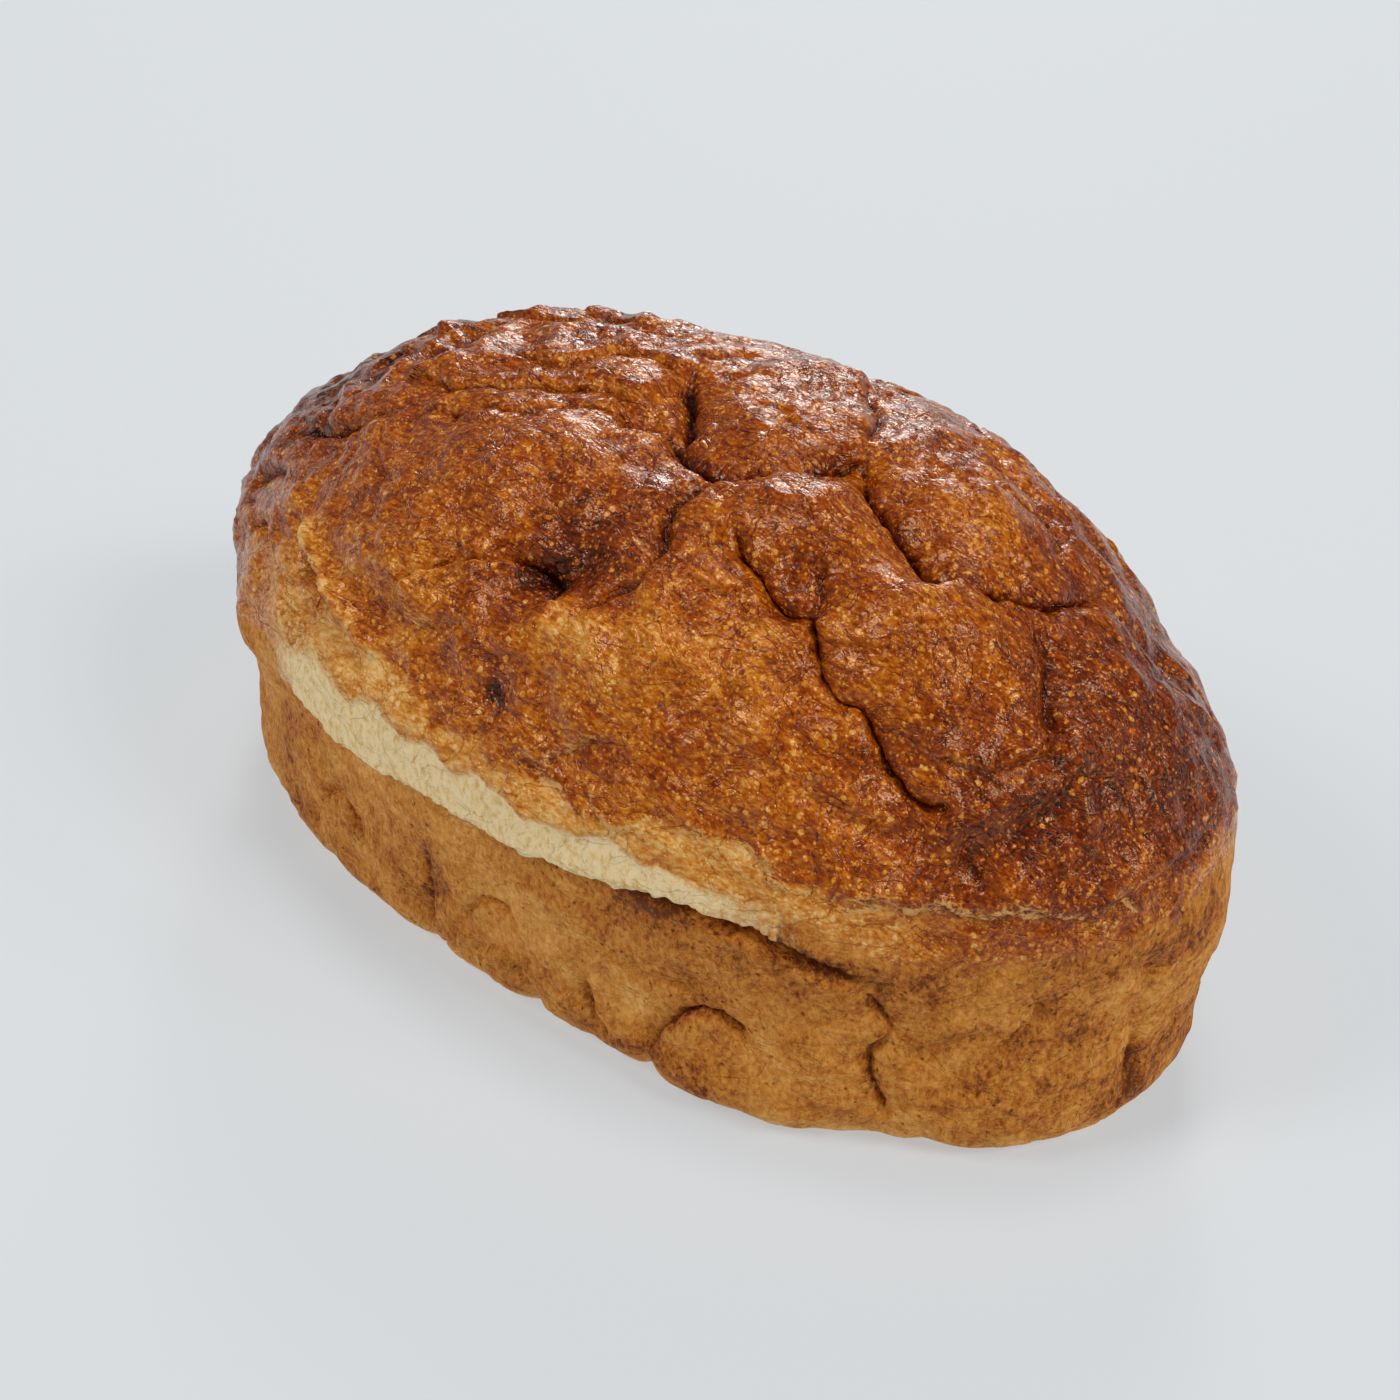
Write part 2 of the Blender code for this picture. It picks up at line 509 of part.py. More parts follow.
def fold_relief(points, normals, folds):
    """Movement of the skin for all folds: groove, raised lip, fallen side and wide valley."""
    move = np.zeros_like(points)
    wavered = bent(points)
    uneven = 1.0 + 0.6 * wavy(points, 13 * MM, 41)
    for run, depth, width, rise, fall, side, lean in folds.values():
        line = smooth_line(run)
        low, high = line.min(0) - FOLD_RANGE, line.max(0) + FOLD_RANGE
        close = np.flatnonzero(((points > low) & (points < high)).all(1))
        signed, done, left_over, left = beside_line(wavered[close], normals[close], line)
        ends = smooth(done / FOLD_END) * smooth(left_over / FOLD_END)
        d = signed * side / MM
        groove = np.exp(-(np.abs(d) / width) ** 1.6) * ends
        step = smooth((d + 0.4 * width) / (1.6 * width))
        skin = rise * np.exp(-np.maximum(d, 0.0) / HIGH_REACH) * step
        skin -= fall * np.exp(-np.maximum(-d, 0.0) / LOW_REACH) * (1.0 - step)
        valley = VALLEY_SHARE * max(depth - 1.0, 0.0) * np.exp(-(np.abs(d) / VALLEY_REACH) ** 1.5)
        lift = (skin - valley) * ends - depth * groove * uneven[close]
        move[close] += normals[close] * (lift * MM)[:, None]
        roll = np.where(d > 0, np.exp(-((d - 1.2) / 1.6) ** 2), 0.0) * ends
        move[close] -= left * (side * LEAN_SHARE * lean * roll * MM)[:, None]
    return move


def shoulder_rounding(points, normals):
    """Takes the hard corner off between the wall and the dome."""
    near = np.exp(-((points[:, 2] - TIN_HEIGHT - SHOULDER) / SHOULDER_ROUND) ** 2)
    return normals * (-SHOULDER_CUT * near)[:, None]


def tear_lines(points):
    """Heights of the crumb's lower edge and of the crust's edge, opening and slot, per point."""
    x, y = points[:, 0] / MM, points[:, 1] / MM
    flat = points * np.array([1, 1, 0])
    ragged = 1.4 * wavy(flat, 9 * MM, 3) + 0.7 * wavy(flat, 2.5 * MM, 13)
    ragged_lip = 2.6 * wavy(flat, 8 * MM, 4) + 1.4 * wavy(flat, 3 * MM, 14)
    values = []
    for table in (FRONT_TEAR, BACK_TEAR):
        along, low, high, opening, slot = np.array(table, float).T
        values.append(np.stack([np.interp(x, along, low) + ragged,
                                np.interp(x, along, high) + ragged_lip,
                                np.interp(x, along, opening), np.interp(x, along, slot)]))
    return np.where(y < 0, values[0], values[1])


def above_skin_edge(points):
    """Height in millimetres above the ragged lower edge of the brown skin."""
    along, height = np.array(SKIN_EDGE, float).T
    flat = points * np.array([1, 1, 0])
    ragged = 3.4 * wavy(flat, 10 * MM, 51) + 2.2 * wavy(points, 3.6 * MM, 52)
    front = points[:, 2] / MM - np.interp(points[:, 0] / MM, along, height) - ragged
    return np.where(points[:, 1] < 0, front, points[:, 2] / MM - 62 - ragged)


def tear_relief(points, normals):
    z = points[:, 2] / MM
    edge, lip, opened, slot = tear_lines(points)
    gape = np.clip(slot / 6.0, 0.0, 1.0)
    held = np.maximum(opened, 0.4 * gape)
    step = smooth((z - edge + 0.8) / 1.8)
    fade = 1.0 - smooth((z - lip - 2.0) / 16.0)
    hollow = (1.0 - step) * np.exp(-((edge - z) / 11.0) ** 2)
    under = (1.0 - step) * np.exp(-(np.maximum(edge - z - 0.8, 0.0) / 2.0) ** 3)
    crust = smooth((z - lip + 0.6) / 1.4) * (1.0 - smooth((z - lip - 1.0) / 9.0))
    out = held * (TEAR_STEP * step * fade - TEAR_HOLLOW * hollow)
    out += opened * CRUST_LIP * crust - 1.2 * slot * under * MM
    over_skin = above_skin_edge(points)
    out += FLAKE_STEP * smooth(over_skin / 0.9) * (1.0 - smooth((over_skin - 1.0) / 9.0))
    out += gape * SLOT_RIM * np.exp(-((z - edge + 5.0) / 2.6) ** 2)
    out -= gape * SLOT_RETREAT * smooth((z - edge + 0.5) / 1.5) * np.exp(-((z - edge) / 9.0) ** 2)
    move = normals * out[:, None]
    move[:, 2] -= held * TEAR_DROP * np.exp(-((z - edge - 0.8) / 1.3) ** 2)
    move[:, 2] -= slot * SLOT_SINK * np.exp(-((z - edge + 1.7) / 1.2) ** 2)
    return move


def skin_relief(points, normals):
    """Lumps of the skin of the top, and the soft swellings and hollows."""
    wavered = bent(points)
    height = points[:, 2] / MM
    terraced = np.exp(-(np.linalg.norm((points / MM - TERRACES_AT) / TERRACES_SIZE, axis=1)) ** 4)
    ridged = RIDGE_MEAN - RIDGE_DEPTH * np.abs(wavy(wavered, RIDGE_SIZE, 44))
    lumps = (RIDGE_SHARE + TERRACE_SHARE * terraced) * ridged
    for size, rise, seed in LUMPS:
        lumps += rise * wavy(wavered, size * MM, seed)
    out = lumps * smooth((points[:, 2] - TOP_FROM) / TOP_BLEND)
    for centre, swell, reach in SWELLINGS:
        gap = np.linalg.norm(points - np.array(centre) * MM, axis=1) / MM
        out += swell * np.exp(-(gap / reach) ** 2) * smooth(height / 3.0)
    return normals * (out * MM)[:, None]


def foot_relief(points, weight):
    """Notches and undercuts of the lower edge and soft waves of the tin wall, all sideways."""
    x, y, z = (points / MM).T
    sideways = points * np.array([BASE_HALF_WIDTH / BASE_HALF_LENGTH, 1.0, 0.0])
    sideways /= np.linalg.norm(sideways, axis=1)[:, None] + 1e-9
    out = np.zeros(len(points))
    for at, side, depth, width, height in NOTCHES:
        lean = 0.25 * z
        low = np.exp(-(z / height) ** 2)
        out -= (y * side > 0) * depth * np.exp(-np.abs((x - at - lean) / width) ** 1.4) * low
    for at, side, depth, width in UNDERCUTS:
        low = 1.0 - smooth(z * MM / UNDERCUT_HEIGHT)
        out -= (y * side > 0) * depth * np.exp(-((x - at) / width) ** 2) * low
    on_wall = 1.0 - smooth((z - 44.0) / 10.0)
    waves = 0.9 * wavy(points, 30 * MM, 5) + 0.8 * wavy(points, 12 * MM, 6)
    out += waves * on_wall
    side_share = smooth((np.abs(y) - 6.0) / 10.0)
    return sideways * (out * weight ** 4 * np.maximum(side_share, on_wall * 0.999) * MM)[:, None]


def crust_material():
    mat = bpy.data.materials.new("crust")
    mat.use_nodes = True
    shader = mat.node_tree.nodes["Principled BSDF"]
    shader.inputs["Base Color"].default_value = CRUST_COLOUR
    shader.inputs["Roughness"].default_value = CRUST_ROUGHNESS
    return mat


def build_loaf():
    bm = gridded_box(GRID_LENGTH, GRID_WIDTH, GRID_HEIGHT)
    box = np.array([v.co for v in bm.verts])
    form, weight = loaf_form(box)
    normals = vertex_normals(bm, form)
    high = form[:, 2]
    on_top = smooth((high - TOP_FROM) / TOP_BLEND)[:, None]
    off_foot = smooth((high - TEAR_FROM) / TEAR_BLEND)[:, None]
    shaped = form + fold_relief(form, normals, FOLDS) * on_top
    shaped += fold_relief(form, normals, TORN_EDGES)
    shaped += skin_relief(form, normals)
    shaped += shoulder_rounding(form, normals)
    shaped += tear_relief(form, normals) * off_foot
    seams = fold_relief(form, normals * np.array([1.0, 1.0, 0.0]), SIDE_SEAMS)
    seams[:, 2] *= smooth(high / EDGE_RADIUS)
    shaped += seams * weight[:, None]
    shaped += foot_relief(form, weight)
    shaped[high < 1e-7, 2] = 0.0
    shaped[:, 2] = np.maximum(shaped[:, 2], 0.0)
    for vert, point in zip(bm.verts, shaped):
        vert.co = point
    mesh = bpy.data.meshes.new("loaf_dense")
    bm.to_mesh(mesh)
    bm.free()
    return mesh


def main():
    for obj in list(bpy.data.objects):
        bpy.data.objects.remove(obj, do_unlink=True)
    collection = bpy.data.collections.new("corn_bread")
    bpy.context.scene.collection.children.link(collection)
    mesh = build_loaf()
    loaf = bpy.data.objects.new("loaf", mesh)
    collection.objects.link(loaf)
    thin = loaf.modifiers.new("fewer triangles", "DECIMATE")
    thin.ratio = KEPT_TRIANGLES / (2 * len(mesh.polygons))
    loaf.data.materials.append(crust_material())
    for face in mesh.polygons:
        face.use_smooth = True


main()
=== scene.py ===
import math
import bpy
import bmesh
import numpy as np
from mathutils import Matrix, Vector, noise


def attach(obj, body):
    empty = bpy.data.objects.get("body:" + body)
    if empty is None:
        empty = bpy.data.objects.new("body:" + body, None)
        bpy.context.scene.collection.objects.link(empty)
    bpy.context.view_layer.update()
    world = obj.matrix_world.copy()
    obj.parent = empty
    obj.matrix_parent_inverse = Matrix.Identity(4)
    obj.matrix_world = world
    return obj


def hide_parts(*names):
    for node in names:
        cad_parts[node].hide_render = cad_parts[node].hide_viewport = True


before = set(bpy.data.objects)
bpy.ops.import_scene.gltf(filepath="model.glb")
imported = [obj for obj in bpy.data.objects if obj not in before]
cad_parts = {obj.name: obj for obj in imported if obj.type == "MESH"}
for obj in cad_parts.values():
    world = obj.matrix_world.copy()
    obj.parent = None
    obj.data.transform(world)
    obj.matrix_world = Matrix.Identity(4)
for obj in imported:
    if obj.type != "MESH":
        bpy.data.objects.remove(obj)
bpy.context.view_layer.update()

# The loaf: one baked piece of dough that rose above its oval tin. The lower part took the tin's
# shape, the top rose free, wrinkled as it cooled, and tore open along the front above the rim.
# It is shaped here from a gridded box, with every fold of the skin as relief in the one mesh.
MM = 0.001
HALF_LENGTH = 118.6 * MM
HALF_WIDTH = 63.3 * MM
FLARE = 3.2 * MM
TIN_HEIGHT = 46.0 * MM
FOOT_RADIUS = 10.0 * MM
FOOT_ROUNDNESS = 2.35
LOAF_HEIGHT = 113.0 * MM
SHOULDER = 12.0 * MM
BULGE = 4.0 * MM
BULGE_START = 28.0 * MM
TOP_ROUNDNESS = 2.0
DOME_FULLNESS = 3.3
DOME_FALL = 1.262
LEAN_TO_RIGHT = 0.125
LEAN_TO_BACK = 0.04
CAP_SHARE = 0.72
CLIMB_EASE = 0.75
FOOT_SHARE = 0.125
WALL_SHARE = 0.55
GRID = (164, 108, 86)
FINER_FACES = 10000


def smooth(value):
    value = np.clip(value, 0.0, 1.0)
    return value * value * (3.0 - 2.0 * value)


def ramp(value, start, length):
    """Rises from 0 at the start to 1 a length further on."""
    return smooth((value - start) / length)


def bell(value, middle, width, power=2.0):
    """Falls from 1 in the middle to 0 on both sides."""
    return np.exp(-(np.abs(value - middle) / width) ** power)


def oval(angle, roundness):
    along = np.abs(np.cos(angle)) ** roundness
    across = np.abs(np.sin(angle)) ** roundness
    return (along + across) ** (-1.0 / roundness)


def loaf_form(box):
    """The smooth loaf for points of the box: foot, tin wall, shoulder and dome."""
    x, y, z = box.T
    disc_x = x * np.sqrt(1.0 - y * y / 2.0)
    disc_y = y * np.sqrt(1.0 - x * x / 2.0)
    on_lid = z > 0.9999
    from_middle = np.where(on_lid, np.hypot(disc_x, disc_y), 1.0)
    angle = np.arctan2(disc_y, disc_x)
    cos, sin = np.cos(angle), np.sin(angle)
    run = (z + 1.0) / 2.0
    wall_top = TIN_HEIGHT + SHOULDER

    foot = np.clip(run / FOOT_SHARE, 0.0, 1.0) * np.pi / 2.0
    inset = FOOT_RADIUS * (1.0 - np.sin(foot))
    wall = np.clip((run - FOOT_SHARE) / (WALL_SHARE - FOOT_SHARE), 0.0, 1.0)
    height = FOOT_RADIUS * (1.0 - np.cos(foot)) + (wall_top - FOOT_RADIUS) * wall
    up = np.clip(height / TIN_HEIGHT, 0.0, 1.0)
    roundness = FOOT_ROUNDNESS + (TOP_ROUNDNESS - FOOT_ROUNDNESS) * up
    bulge = BULGE * smooth((height - BULGE_START) / (wall_top - BULGE_START))
    grow = FLARE * up - inset + bulge
    ring = oval(angle, roundness)
    side = np.stack([cos * ring * (HALF_LENGTH + grow), sin * ring * (HALF_WIDTH + grow),
                     height], -1)

    cap_angle = np.arccos(CAP_SHARE)
    climb = np.clip((run - WALL_SHARE) / (1.0 - WALL_SHARE), 0.0, 1.0)
    reach = np.where(on_lid, from_middle * CAP_SHARE, np.cos(cap_angle * climb ** CLIMB_EASE))
    ring = oval(angle, TOP_ROUNDNESS)
    dome_x, dome_y = cos * ring * reach, sin * ring * reach
    lean = 1.0 + LEAN_TO_RIGHT * dome_x + LEAN_TO_BACK * dome_y
    rise = np.clip(1.0 - reach ** DOME_FULLNESS, 0.0, 1.0) ** (1.0 / DOME_FALL)
    dome = np.stack([dome_x * (HALF_LENGTH + FLARE + BULGE),
                     dome_y * (HALF_WIDTH + FLARE + BULGE),
                     wall_top + (LOAF_HEIGHT - wall_top) * rise * lean], -1)
    return np.where(((run > WALL_SHARE) | on_lid)[:, None], dome, side)


def box_grid(along, across, up):
    """Points and four-sided faces of an open box with a lid, and the loop of its bottom edge."""
    ring = ([(-1 + 2 * i / along, -1) for i in range(along)]
            + [(1, -1 + 2 * i / across) for i in range(across)]
            + [(1 - 2 * i / along, 1) for i in range(along)]
            + [(-1, 1 - 2 * i / across) for i in range(across)])
    count = len(ring)
    ring = np.array(ring, float)
    levels = np.linspace(-1, 1, up + 1)
    sides = np.concatenate([np.c_[ring, np.full(count, z)] for z in levels])
    here = np.arange(count)
    after = (here + 1) % count
    faces = [np.stack([here + low, after + low, after + low + count, here + low + count], -1)
             for low in range(0, up * count, count)]
    i, j = np.meshgrid(np.arange(along + 1), np.arange(across + 1), indexing="ij")
    top = up * count
    lid = np.where(j == 0, top + i, -1)
    lid = np.where(i == along, top + along + j, lid)
    lid = np.where((j == across) & (i < along), top + 2 * along + across - i, lid)
    lid = np.where((i == 0) & (j > 0) & (j < across), top + 2 * along + 2 * across - j, lid)
    inner = lid < 0
    lid[inner] = len(sides) + np.arange(inner.sum())
    inside = np.stack([-1 + 2 * i[inner] / along, -1 + 2 * j[inner] / across,
                       np.ones(inner.sum())], -1)
    faces.append(np.stack([lid[:-1, :-1], lid[1:, :-1], lid[1:, 1:], lid[:-1, 1:]],
                          -1).reshape(-1, 4))
    return np.concatenate([sides, inside]), np.concatenate(faces), list(range(count))[::-1]


def surface_normals(mesh):
    flat = np.empty(len(mesh.vertices) * 3, np.float32)
    mesh.vertex_normals.foreach_get("vector", flat)
    return flat.reshape(-1, 3).astype(float)


def set_points(mesh, points):
    mesh.vertices.foreach_set("co", points.astype(np.float32).ravel())
    mesh.update()


def get_points(mesh):
    flat = np.empty(len(mesh.vertices) * 3, np.float32)
    mesh.vertices.foreach_get("co", flat)
    return flat.reshape(-1, 3).astype(float)


def smooth_line(points, steps=6):
    """A smooth run of points through the given ones, which are in millimetres."""
    given = np.array(points, float) * MM
    ends = np.vstack([2 * given[0] - given[1], given, 2 * given[-1] - given[-2]])
    line = []
    for i in range(len(given) - 1):
        before, start, end, after = ends[i:i + 4]
        for t in np.linspace(0, 1, steps, endpoint=False):
            line.append(0.5 * (2 * start + (end - before) * t
                               + (2 * before - 5 * start + 4 * end - after) * t ** 2
                               + (3 * start - before - 3 * end + after) * t ** 3))
    line.append(given[-1])
    return np.array(line)


def beside_line(points, normals, line):
    """Signed distance to the line (+ to its left), length before and after, way to its left."""
    best = np.full(len(points), 1e9)
    signed = np.zeros(len(points))
    done = np.zeros(len(points))
    left = np.zeros((len(points), 3))
    lengths = np.linalg.norm(np.diff(line, axis=0), axis=1)
    before = 0.0
    for start, end, length in zip(line[:-1], line[1:], lengths):
        run = (end - start) / length
        t = np.clip((points - start) @ run / length, 0.0, 1.0)
        gap = points - (start + t[:, None] * (end - start))
        across = np.cross(normals, run)
        distance = np.linalg.norm(gap, axis=1)
        near = distance < best
        best[near] = distance[near]
        signed[near] = distance[near] * np.sign((gap * across).sum(1))[near]
        done[near] = (before + t * length)[near]
        left[near] = across[near]
        before += length
    return signed, done, before - done, left


def wavy(points, size, seed, stretch=(1, 1, 1)):
    shift = Vector((seed * 7.13, seed * 3.71, seed * 5.39))
    scaled = points / (np.array(stretch) * size)
    return np.array([noise.noise(Vector(p) + shift) for p in scaled])


def waves(points, *parts):
    """Waves laid over each other, each with its height, size in millimetres and seed."""
    return sum(height * wavy(points, size * MM, seed, *stretch)
               for height, size, seed, *stretch in parts)


# Creases and steps of the top skin: points in millimetres, then depth and half width of the
# groove (a depth below zero is a ridge), rise of the skin on the lip side, fall of the skin on
# the other side, the side of the lip (+1 left of the run) and how far the lip leans over
FOLDS = {
    "behind_left_lobe": (
        [(-52, -30, 102), (-41, -29, 105), (-32, -26, 107), (-24, -24, 109), (-14, -16, 111),
         (-7, -13, 112), (0, -12, 113), (9, -14, 113), (20, -17, 113), (27, -20, 113)],
        1.6, 1.6, 1.4, -0.7, 1, 0.6),
    "cleft_beside_left_lobe": (
        [(-12, -12, 112), (-4, -11, 112), (3, -11, 113), (12, -14, 113), (20, -16, 113),
         (26, -19, 113), (27, -22, 112)],
        4.0, 1.9, 0.8, -1.0, 1, 1.0),
    "terrace_behind_left_lobe": (
        [(-66, -23, 101), (-58, -20, 103), (-48, -22, 106), (-37, -18, 108), (-28, -14, 110),
         (-20, -9, 111), (-12, -7, 112), (-5, -7, 113)],
        1.0, 2.2, 2.3, 0.9, 1, 0.9),
    "second_terrace": (
        [(-48, -5, 108), (-40, -7, 109), (-33, -7, 110), (-30, -1, 111), (-28, 5, 111),
         (-20, 6, 112), (-11, 5, 113), (-6, 4, 113)],
        1.1, 2.0, 2.0, 1.0, 1, 0.7),
    "terrace_cross_1": (
        [(-60, -18, 103), (-55, -11, 105), (-57, -3, 105), (-52, 4, 106)],
        1.3, 1.6, 1.0, 0.5, -1, 0.5),
    "terrace_cross_2": (
        [(-38, 2, 109), (-33, 9, 109), (-38, 17, 108), (-36, 24, 106)],
        1.4, 1.8, 1.0, 0.5, -1, 0.4),
    "big_lobe_crease": (
        [(-46, -24, 105), (-38, -30, 105), (-28, -31, 107), (-20, -29, 109)],
        0.5, 1.4, 0.7, 0.3, 1, 0.3),
    "front_lobe_crease": (
        [(36, -34, 106), (40, -42, 101), (42, -48, 97), (48, -52, 91)],
        0.7, 1.6, 0.8, 0.3, -1, 0.3),
    "front_lobe_wrinkle": (
        [(52, -42, 98), (56, -48, 93), (60, -54, 85), (60, -58, 78)],
        0.7, 1.6, 0.8, 0.3, 1, 0.3),
    "above_crumb_wrinkle": (
        [(-20, -62, 79), (-12, -61, 82), (-4, -60, 84), (4, -60, 84)],
        0.5, 1.6, 0.8, 0.3, 1, 0.2),
    "plateau_cleft": (
        [(-10, 9, 113), (-8, 6, 113), (-4, 2, 113), (1, -3, 113), (5, -7, 113), (9, -12, 113)],
        3.6, 1.7, 1.0, 0.2, 1, 0.9),
    "plateau_back_cleft": (
        [(-9, 7, 113), (-11, 13, 113), (-9, 19, 112), (-5, 26, 112)],
        1.4, 2.0, 1.2, 0.2, -1, 0.3),
    "plateau_front_edge": (
        [(24, -19, 113), (28, -13, 113), (32, -9, 113), (34, -4, 113), (36, 3, 113), (39, 8, 113)],
        2.8, 1.8, 2.2, 0.6, 1, 1.6),
    "plateau_right_edge": (
        [(14, 34, 110), (22, 26, 113), (30, 19, 114), (38, 7, 114)],
        1.5, 1.5, 0.8, 0.5, -1, 0.4),
    "right_of_middle_lobe": (
        [(36, 9, 113), (42, 4, 113), (47, 0, 113), (53, -3, 113), (60, -7, 112), (67, -9, 110),
         (76, -11, 107)],
        5.0, 1.9, 1.6, 0.2, 1, 1.6),
    "middle_lobe_rim": (
        [(28, -15, 113), (33, -12, 113), (40, -9, 114), (49, -8, 113), (59, -10, 112),
         (66, -11, 110), (73, -13, 107)],
        1.7, 1.4, 1.7, 0.9, -1, 0.6),
    "left_of_middle_lobe": (
        [(26, -18, 113), (24, -24, 112), (24, -29, 110), (25, -34, 108), (27, -38, 106),
         (30, -42, 103)],
        3.2, 2.0, 1.8, -0.6, 1, 0.6),
    "hollow_right_edge": (
        [(28, -38, 105), (29, -42, 103), (29, -45, 101), (26, -48, 98), (22, -52, 95),
         (18, -54, 93)],
        1.7, 1.4, 1.2, 0.8, 1, 0.5),
    "front_lobe_edge": (
        [(-24, -60, 82), (-18, -57, 87), (-14, -55, 90), (-9, -53, 93), (-4, -52, 95), (0, -51, 96),
         (5, -51, 96)],
        1.3, 1.1, 1.3, 0.9, -1, 0.8),
    "front_hollow_pit": (
        [(-5, -52, 95), (0, -51, 96), (5, -51, 96), (10, -52, 95), (15, -54, 93)],
        3.2, 2.0, 1.4, 1.0, -1, 1.4),
    "long_front_fold": (
        [(35, -26, 110), (39, -28, 109), (45, -31, 108), (50, -32, 106), (56, -33, 104),
         (61, -31, 104), (64, -33, 101), (68, -36, 97), (73, -37, 94), (78, -36, 93),
         (82, -37, 89), (87, -38, 84), (93, -37, 80), (99, -33, 78)],
        4.2, 1.4, 1.8, 0.6, 1, 1.9),
    "upper_front_fold": (
        [(55, -21, 109), (57, -25, 108), (60, -28, 106), (61, -32, 104)],
        1.8, 1.4, 0.8, 0.3, 1, 0.3),
    "below_long_fold": (
        [(69, -38, 95), (74, -40, 92), (79, -41, 87), (83, -43, 82), (84, -44, 78)],
        -1.1, 2.6, 0.0, 0.8, 1, 0.0),
    "right_end_fold": (
        [(77, -9, 106), (80, -4, 106), (84, 2, 104), (86, 9, 102), (86, 17, 99), (83, 27, 96)],
        4.6, 1.4, 1.8, 0.8, 1, 2.2),
    "right_soft_valley": (
        [(88, 1, 102), (92, -4, 100), (96, -7, 97), (100, -11, 93), (105, -16, 86)],
        2.2, 2.4, 1.0, 0.4, -1, 0.2),
    "right_notch": (
        [(92, 16, 96), (97, 22, 91), (100, 27, 86), (101, 32, 80)],
        3.0, 2.0, 1.4, 0.5, -1, 0.6),
    "right_flaky_ridge": (
        [(88, -33, 88), (93, -31, 86), (99, -27, 85), (103, -19, 86), (105, -12, 88)],
        1.0, 1.3, 1.4, 0.8, 1, 0.4),
    "right_low_ridge": (
        [(93, -39, 73), (98, -36, 75), (102, -30, 78), (105, -24, 81), (107, -19, 82),
         (107, -14, 85), (105, -8, 89)],
        -3.4, 2.8, 0.0, 1.6, 1, 0.0),
    "right_end_ridge": (
        [(107, -12, 87), (111, -15, 80), (114, -18, 74), (116, -20, 69)],
        -2.5, 2.4, 0.0, 0.8, 1, 0.0),
    "right_side_crack": (
        [(101, -34, 75), (103, -35, 71), (105, -35, 67), (107, -34, 64)],
        1.8, 1.3, 0.5, 0.3, 1, 0.3),
    "right_side_valley": (
        [(70, -54, 78), (76, -50, 79), (82, -47, 75), (88, -44, 74), (96, -39, 74)],
        1.6, 3.0, 0.9, 0.3, 1, 0.2),
    "left_pale_ridge": (
        [(-64, -50, 81), (-56, -55, 78), (-48, -58, 77), (-41, -60, 76), (-35, -63, 74),
         (-30, -64, 72), (-21, -66, 71)],
        -3.4, 1.9, 1.2, 1.3, 1, 0.0),
    "left_pale_crease": (
        [(-70, -46, 80), (-64, -50, 79), (-58, -55, 76), (-51, -58, 75), (-46, -61, 72),
         (-40, -64, 68)],
        2.2, 1.6, 0.6, 0.4, 1, 0.6),
    "left_shoulder_fold": (
        [(-92, -30, 83), (-84, -32, 87), (-75, -34, 90), (-68, -33, 94), (-64, -30, 98)],
        1.8, 1.7, 1.4, 0.6, 1, 0.6),
    "left_shoulder_dent": (
        [(-60, -36, 95), (-62, -42, 90), (-64, -46, 85), (-66, -49, 80)],
        1.2, 3.5, 0.6, 0.2, 1, 0.0),
    "left_end_wrinkle_1": (
        [(-98, -36, 68), (-92, -38, 75), (-86, -40, 79), (-80, -43, 80)],
        1.7, 1.7, 1.2, 0.5, 1, 0.4),
    "left_end_wrinkle_2": (
        [(-88, -46, 66), (-82, -47, 71), (-76, -51, 71), (-70, -54, 69)],
        1.5, 1.5, 1.0, 0.5, 1, 0.4),
    "back_left_fold_1": (
        [(-88, -12, 91), (-80, -8, 96), (-70, -10, 99), (-62, -13, 102), (-54, -12, 105)],
        0.6, 2.4, 1.5, 0.7, 1, 0.2),
    "back_left_fold_2": (
        [(-92, 2, 89), (-84, 4, 94), (-74, 2, 98), (-64, 0, 102), (-56, -3, 105)],
        0.7, 2.4, 1.4, 0.7, 1, 0.2),
    "back_left_fold_3": (
        [(-78, 14, 96), (-68, 11, 100), (-58, 10, 104), (-50, 13, 105), (-42, 11, 108)],
        0.7, 2.6, 1.5, 0.7, 1, 0.2),
    "back_left_fold_4": (
        [(-64, 26, 99), (-54, 23, 103), (-44, 25, 105), (-36, 20, 108), (-26, 22, 109)],
        0.6, 2.8, 1.2, 0.6, 1, 0.2),
    "back_left_fold_5": (
        [(-104, -14, 78), (-98, -8, 84), (-92, -6, 88)],
        1.0, 2.2, 0.9, 0.4, 1, 0.2),
    "back_ridge_cut": (
        [(-24, 8, 111), (-20, 14, 110), (-20, 22, 109), (-24, 28, 107)],
        1.7, 2.2, 0.8, 0.3, -1, 0.3),
    "back_right_fold": (
        [(46, 32, 108), (56, 28, 108), (66, 26, 106), (76, 20, 104), (84, 12, 103)],
        1.4, 2.4, 1.0, 0.5, 1, 0.4),
    "back_right_line": (
        [(44, 14, 112), (54, 12, 111), (64, 8, 109), (72, 2, 108)],
        0.7, 1.6, 0.6, 0.4, 1, 0.2),
    "back_middle_fold": (
        [(-2, 44, 103), (8, 38, 108), (18, 34, 110), (26, 30, 111)],
        1.6, 2.2, 1.0, 0.4, -1, 0.4),
    "back_left_dent": (
        [(-90, 24, 84), (-78, 34, 88), (-64, 40, 90), (-48, 44, 93)],
        1.6, 2.6, 0.8, 0.4, 1, 0.2),
    "back_side_fold": (
        [(-20, 56, 84), (-6, 52, 92), (8, 54, 90), (22, 54, 88), (34, 57, 80)],
        2.0, 1.8, 1.2, 0.7, 1, 0.8),
    "back_side_wrinkle": (
        [(48, 54, 78), (60, 48, 84), (72, 42, 86), (84, 34, 84)],
        1.5, 1.8, 1.0, 0.5, 1, 0.5),
}
